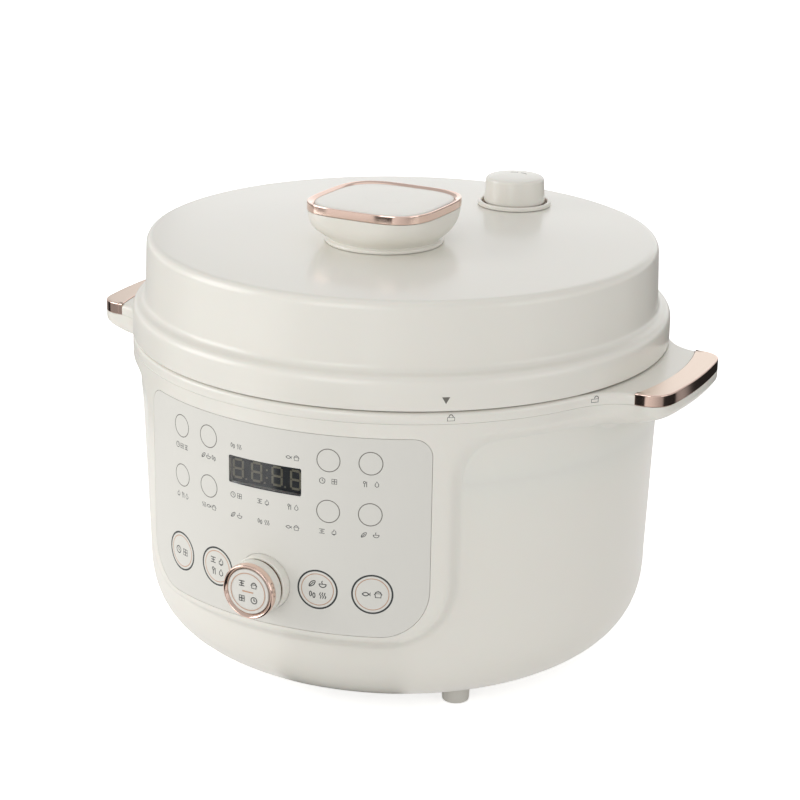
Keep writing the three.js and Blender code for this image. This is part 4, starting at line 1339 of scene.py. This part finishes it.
class COOKER_OT_knob(bpy.types.Operator):
    """Builds the squared lid knob with its plated ring and inset plate"""
    bl_idname = "cooker.knob"
    bl_label = "Lid knob"

    def execute(self, context):
        half = context.scene.cooker_sizes.knob_half / MM
        low, high = LID_TOP + 0.3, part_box("knob_trim")[0].z / MM
        sections = [(29.0, low, 2.0), (33.7, low, 2.0), (34.0, low + 0.4, 2.0), (34.0, low + 1.5, 2.0),
                    (33.6, low + 2.0, 2.0), (32.4, low + 2.2, 2.0), (32.2, low + 2.5, 2.0),
                    (32.7, low + 3.2, 2.0), (34.3, low + 4.6, 2.1), (35.7, low + 6.2, 2.3),
                    (36.8, low + 8.2, 2.65),
                    (37.5, low + 10.6, 3.05), (37.9, low + 13.4, 3.35), (38.1, low + 16.4, 3.55),
                    (half - 0.3, high - 0.3, 3.6), (half - 4.0, high - 0.3, 3.6)]
        draft = Draft()
        rows = squircle_rows(sections)
        draft.rows(rows)
        draft.cap(rows[0])
        draft.cap(rows[-1])
        settle(piece("knob_body", draft, [shell_white()], sharp=50), "lid", "knob_base")
        self.ring(half, high)
        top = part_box("knob_plate")[1].z / MM
        inner = half - 3.6
        draft = Draft()
        rows = squircle_rows([(inner, high + 1.0, 3.5), (inner, top - 1.5, 3.5),
                              (inner - 0.3, top - 1.2, 3.5), (inner - 2.0, top - 1.0, 3.5),
                              (inner * 0.6, top - 0.8, 3.3), (inner * 0.25, top - 0.7, 2.6)])
        draft.rows(rows)
        draft.cap(rows[0])
        draft.cap(rows[-1])
        settle(piece("knob_top", draft, [shell_white()], sharp=50), "lid", "knob_plate")
        rise = arc(0, 4.0, 13.0, 13.0, 205, 335, 24)
        lay = lambda x, y, lift: (x + KNOB_PLACE.x, y + KNOB_PLACE.y, top - 0.72 + lift)
        printed("knob_crest", [rise], 0.5, panel_grey(), "lid", lay)
        paint("knob_screw", steel())
        return {"FINISHED"}

    def ring(self, half, low):
        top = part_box("knob_trim")[1].z / MM
        sections = [(half - 3.4, low, 3.5), (half - 0.2, low, 3.6), (half, low + 0.25, 3.6),
                    (half, low + 0.6, 3.6), (half, top - 0.8, 3.6), (half, top - 0.45, 3.6),
                    (half - 0.12, top - 0.13, 3.6), (half - 0.45, top, 3.6),
                    (half - 0.8, top - 0.05, 3.6), (half - 3.2, top - 1.0, 3.5), (half - 3.4, top - 1.3, 3.5)]
        draft = Draft()
        draft.rows(squircle_rows(sections), loop_rows=True)
        settle(piece("knob_ring_plated", draft, [rose_gold()], sharp=40), "lid", "knob_trim")


class COOKER_OT_valve(bpy.types.Operator):
    """Builds the vent valve and the float valve in the lid's top"""
    bl_idname = "cooker.valve"
    bl_label = "Vent valve"

    def execute(self, context):
        white = shell_white()
        place = (VALVE_PLACE.x, VALVE_PLACE.y)
        low, cap_low, cap_top = LID_TOP + 0.3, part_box("valve_cap")[0].z / MM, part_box("valve_cap")[1].z / MM
        turned("vent_ring", [(14.2, low, 0), (22.2, low, 0.3), (22.2, low + 2.4, 0.9), (20.0, low + 2.4, 0.9),
                             (20.0, low + 0.8, 0.3), (14.2, low + 0.8, 0.2)], white, "lid", "valve_ring",
               place=place, segments=96)
        # painted shade: a thin brown disc between the ring and the cap stands in for the shade in that gap
        turned("vent_gap_painted_shade", [(14.6, low + 0.95, 0), (19.8, low + 0.95, 0), (19.8, low + 1.1, 0),
                            (14.6, low + 1.1, 0)], gap_painted_shade(), "lid", place=place, segments=72)
        turned("vent_cap", [(0, cap_low, 0), (18.1, cap_low, 0.4), (18.5, cap_low + 1.0, 0.4),
                            (17.5, cap_top - 1.4, 1.6), (12.0, cap_top - 0.5, 2.0), (0, cap_top, 0)], white,
               "valve_cap", "valve_cap", place=place, segments=96)
        notch = lambda x, y, lift: (x + place[0], y + place[1], cap_top - 0.25 + lift)
        printed("vent_marks", [arc(0, 3.5, 6.0, 3.0, 150, 100, 6), arc(0, 3.5, 6.0, 3.0, 80, 30, 6)], 0.8,
                soft_ink(), "valve_cap", notch)
        turned("float_pin", [(0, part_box("float_valve")[0].z / MM, 0),
                             (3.0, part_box("float_valve")[0].z / MM, 0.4),
                             (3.0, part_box("float_valve")[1].z / MM, 0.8),
                             (0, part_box("float_valve")[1].z / MM, 0)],
               steel(), "float", "float_valve", place=(FLOAT_PLACE.x, FLOAT_PLACE.y), segments=48)
        for node in ("valve_pipe", "valve_needle"):
            paint(node, steel())
        return {"FINISHED"}


def tooth(draft, inner, outer, low, high, half_angle, steps=6):
    def arc_row(radius, height):
        turns = [math.radians(half_angle * (2 * k / steps - 1)) for k in range(steps + 1)]
        return [(radius * math.cos(t), radius * math.sin(t), height) for t in turns]
    lower = arc_row(inner, low) + arc_row(outer, low)[::-1]
    upper = arc_row(inner, high) + arc_row(outer, high)[::-1]
    draft.prism(lower, upper)


def ring_of(name, draft, material, body, count, first):
    """Copies one shape round the axis with the node tree."""
    made = piece(name, draft, [])
    made = run_tree(made, ring_of_copies_tree(), {"Count": count, "First angle": math.radians(first),
                                                  "Finish": material})
    tidy(made.data)
    return settle(made, body)


class COOKER_OT_inside(bpy.types.Operator):
    """Builds the pots, the locking teeth and the heater under the lid"""
    bl_idname = "cooker.inside"
    bl_label = "Pots"

    def execute(self, context):
        turned("drum", [(60, 24, 0), (119.2, 24, 9.0), (119.2, 193.8, 2.0), (139.0, 195.0, 0.6),
                        (139.0, 197.0, 0.5), (118.0, 195.6, 2.0), (118.0, 25.2, 8.0), (60, 25.2, 0)],
               steel(), "base", "pot_support")
        draft = Draft()
        tooth(draft, 138.6, 144.6, 195.2, 196.9, 9.0)
        ring_of("drum_teeth", draft, steel(), "base", 8, 0.0)
        turned("cooking_pot", [(0, 46.1, 0), (112.5, 46.1, 18.5), (112.5, 196.6, 1.2), (132.0, 197.4, 0.4),
                               (133.0, 198.2, 0.4), (132.0, 198.9, 0.4), (110.5, 198.9, 2.5),
                               (110.5, 48.1, 16.5), (0, 48.1, 0)],
               non_stick(), "base", "inner_pot", segments=160)
        paint("heating_plate", cast_metal())
        paint("temperature_sensor", cast_metal())
        paint("sensor_spring", steel())
        return {"FINISHED"}


class COOKER_OT_lid_inside(bpy.types.Operator):
    """Builds the pressure lid, its teeth, the inner plate, the seal and the filter"""
    bl_idname = "cooker.lid_inside"
    bl_label = "Lid inside"

    def execute(self, context):
        turned("locking_lid", [(0, 211.0, 0), (149.4, 211.0, 7.0), (149.4, 190.0, 0.4), (148.0, 190.0, 0.4),
                               (148.0, 209.3, 6.0), (0, 209.3, 0)], steel(), "lid", "pressure_lid")
        low, high = 190.0, 191.6
        draft = Draft()
        tooth(draft, 145.2, 148.3, low, high, 9.0)
        ring_of("lid_teeth", draft, steel(), "lid", 8, 22.5)
        plate_low, plate_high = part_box("inner_lid_plate")
        turned("inner_plate", [(0, 204.2, 0), (100.0, 204.2, 3.0), (105.0, 203.2, 2.0), (119.5, 203.2, 0.5),
                               (119.5, 206.6, 1.0), (104.0, 206.6, 2.0), (100.0, 208.8, 2.0), (0, 208.8, 0)],
               steel(), "lid", "inner_lid_plate")
        seal_low, seal_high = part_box("sealing_ring")
        low, high = seal_low.z / MM, seal_high.z / MM
        turned("seal_lip", [(121.4, low + 2.0, 0.8), (126.0, low, 0.8), (132.5, low + 0.4, 0.8),
                            (132.5, high, 1.0), (121.4, high, 1.0), (121.4, low + 5.6, 0.6),
                            (128.5, low + 4.6, 0.8), (128.5, low + 3.2, 0.8)],
               silicone(), "seal", "sealing_ring")
        self.screws()
        paint("filter_cap", steel())
        paint("plate_fastener", steel())
        return {"FINISHED"}

    def screws(self):
        for k in (1, 2, 3):
            paint("lid_screw_%d" % k, steel())


class COOKER_OT_base(bpy.types.Operator):
    """Builds the base plate, the feet, the mains inlet and the water cup"""
    bl_idname = "cooker.base"
    bl_label = "Base"

    def execute(self, context):
        self.base_plate()
        rubber = light_rubber()
        for name in ("front_left", "front_right", "rear_left", "rear_right"):
            low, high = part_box("foot_" + name)
            place = ((low.x + high.x) / 2 / MM, (low.y + high.y) / 2 / MM)
            reach, top = (high.x - low.x) / 2 / MM, high.z / MM
            turned("pad_" + name, [(0, 0.9, 0), (3.0, 0.9, 0.2), (3.6, 0.0, 0.3), (reach - 0.6, 0.0, 0.6),
                                   (reach, top, 0.3), (0, top, 0)],
                   rubber, "base", "foot_" + name, place=place, segments=48)
        self.inlet()
        self.water_cup()
        for name in ("line", "neutral", "earth"):
            paint("inlet_pin_" + name, brass())
        return {"FINISHED"}

    def base_plate(self):
        """A round plate with vent slots, left open cell by cell."""
        low, high = (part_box("base_plate")[k].z / MM for k in (0, 1))
        radii = [4.0, 14.0, 26.0, 34.0, 38.0, 44.0, 50.0, 56.0, 60.0, 67.4]
        count = 96
        draft = Draft()
        for i in range(len(radii) - 1):
            for k in range(count):
                in_slot = radii[i] in (26.0, 38.0, 50.0) and k % 12 not in (0, 1, 11)
                if in_slot:
                    continue
                quad = []
                near, far = radii[i], radii[i + 1]
                for radius, step in ((near, k), (far, k), (far, k + 1), (near, k + 1)):
                    turn = 2 * math.pi * step / count
                    quad.append((radius * math.cos(turn), radius * math.sin(turn)))
                draft.prism([(x, y, low) for x, y in quad], [(x, y, high) for x, y in quad])
        made = piece("vented_plate", draft, [shell_white()])
        clean_inner_faces(made)
        settle(made, "base", "base_plate")
        for k in (1, 2, 3, 4):
            paint("base_screw_%d" % k, steel())

    def inlet(self):
        low, high = (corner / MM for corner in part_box("inlet_socket"))
        middle = (low.z + high.z) / 2

        def row(half, rise, y, cut):
            return [(-half, y, middle - rise), (half, y, middle - rise), (half, y, middle + rise - cut),
                    (half - cut, y, middle + rise), (-half + cut, y, middle + rise),
                    (-half, y, middle + rise - cut)]

        rows = [row(high.x, high.z - middle, low.y, 0.4), row(high.x, high.z - middle, high.y - 0.6, 0.4),
                row(high.x - 0.5, high.z - middle - 0.5, high.y, 0.4), row(12.4, 8.7, high.y, 4.0),
                row(12.0, 8.3, high.y - 0.6, 4.0), row(12.0, 8.3, 131.0, 4.0)]
        draft = Draft()
        draft.rows(rows)
        draft.cap(rows[0])
        draft.cap(rows[-1])
        settle(piece("inlet_housing", draft, [black_plastic()]), "base", "inlet_socket")

    def water_cup(self):
        low, high = (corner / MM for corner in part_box("water_collector"))
        wall = 1.8

        def row(grow, height, corner=5.0, steps=6):
            x0, x1, y0, y1 = low.x - grow, high.x + grow, low.y - grow, high.y + grow
            r = max(corner + grow, 0.5)
            points = []
            for cx, cy, start in ((x1 - r, y1 - r, 0), (x0 + r, y1 - r, 90),
                                  (x0 + r, y0 + r, 180), (x1 - r, y0 + r, 270)):
                points += [(x, y, height) for x, y in arc(cx, cy, r, r, start, start + 90, steps)]
            return points
        rows = [row(-1.6, low.z), row(-0.5, low.z + 0.5), row(0.0, low.z + 1.8), row(0.0, high.z - 0.4),
                row(-0.4, high.z), row(-wall + 0.4, high.z), row(-wall, high.z - 0.4),
                row(-wall, low.z + wall + 1.5), row(-wall - 1.2, low.z + wall)]
        draft = Draft()
        draft.rows(rows)
        draft.cap(rows[0])
        draft.cap(rows[-1])
        settle(piece("cup", draft, [cup_plastic()]), "water_cup", "water_collector")


def clean_inner_faces(made):
    """Drops the doubled walls between neighbouring cells."""
    draft = bmesh.new()
    draft.from_mesh(made.data)
    bmesh.ops.remove_doubles(draft, verts=draft.verts, dist=0.01 * MM)
    seen = {}
    for face in draft.faces:
        key = tuple(sorted(v.index for v in face.verts))
        seen.setdefault(key, []).append(face)
    doubled = [face for faces in seen.values() if len(faces) > 1 for face in faces]
    bmesh.ops.delete(draft, geom=doubled, context="FACES")
    bmesh.ops.recalc_face_normals(draft, faces=draft.faces)
    draft.to_mesh(made.data)
    draft.free()
    made.data.set_sharp_from_angle(angle=math.radians(38))


OPERATORS = (COOKER_OT_stage, COOKER_OT_shell, COOKER_OT_rim, COOKER_OT_panel, COOKER_OT_dial, COOKER_OT_lid,
             COOKER_OT_knob, COOKER_OT_valve, COOKER_OT_inside, COOKER_OT_lid_inside, COOKER_OT_base)


class COOKER_PT_panel(bpy.types.Panel):
    """Lists the cooker's settings and the operators that build it"""
    bl_idname = "COOKER_PT_panel"
    bl_label = "Electric Pressure Cooker"
    bl_space_type = "VIEW_3D"
    bl_region_type = "UI"
    bl_category = "Cooker"

    def draw(self, context):
        layout = self.layout
        for group in (context.scene.cooker_sizes, context.scene.cooker_colours):
            for name in group.__annotations__:
                layout.prop(group, name)
        for operator in OPERATORS:
            layout.operator(operator.bl_idname)


CLASSES = (CookerSizes, CookerColours, *OPERATORS, COOKER_PT_panel)


def register():
    for cls in CLASSES:
        bpy.utils.register_class(cls)
    bpy.types.Scene.cooker_sizes = bpy.props.PointerProperty(type=CookerSizes)
    bpy.types.Scene.cooker_colours = bpy.props.PointerProperty(type=CookerColours)


def unregister():
    del bpy.types.Scene.cooker_colours
    del bpy.types.Scene.cooker_sizes
    for cls in reversed(CLASSES):
        bpy.utils.unregister_class(cls)


def main():
    register()
    for operator in OPERATORS:
        family, name = operator.bl_idname.split(".")
        getattr(getattr(bpy.ops, family), name)()
    corners = lambda box: [list(corner) for corner in box]
    {"cad": corners(CAD_BOX), "visual": corners(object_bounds())}


if __name__ == "__main__":
    main()
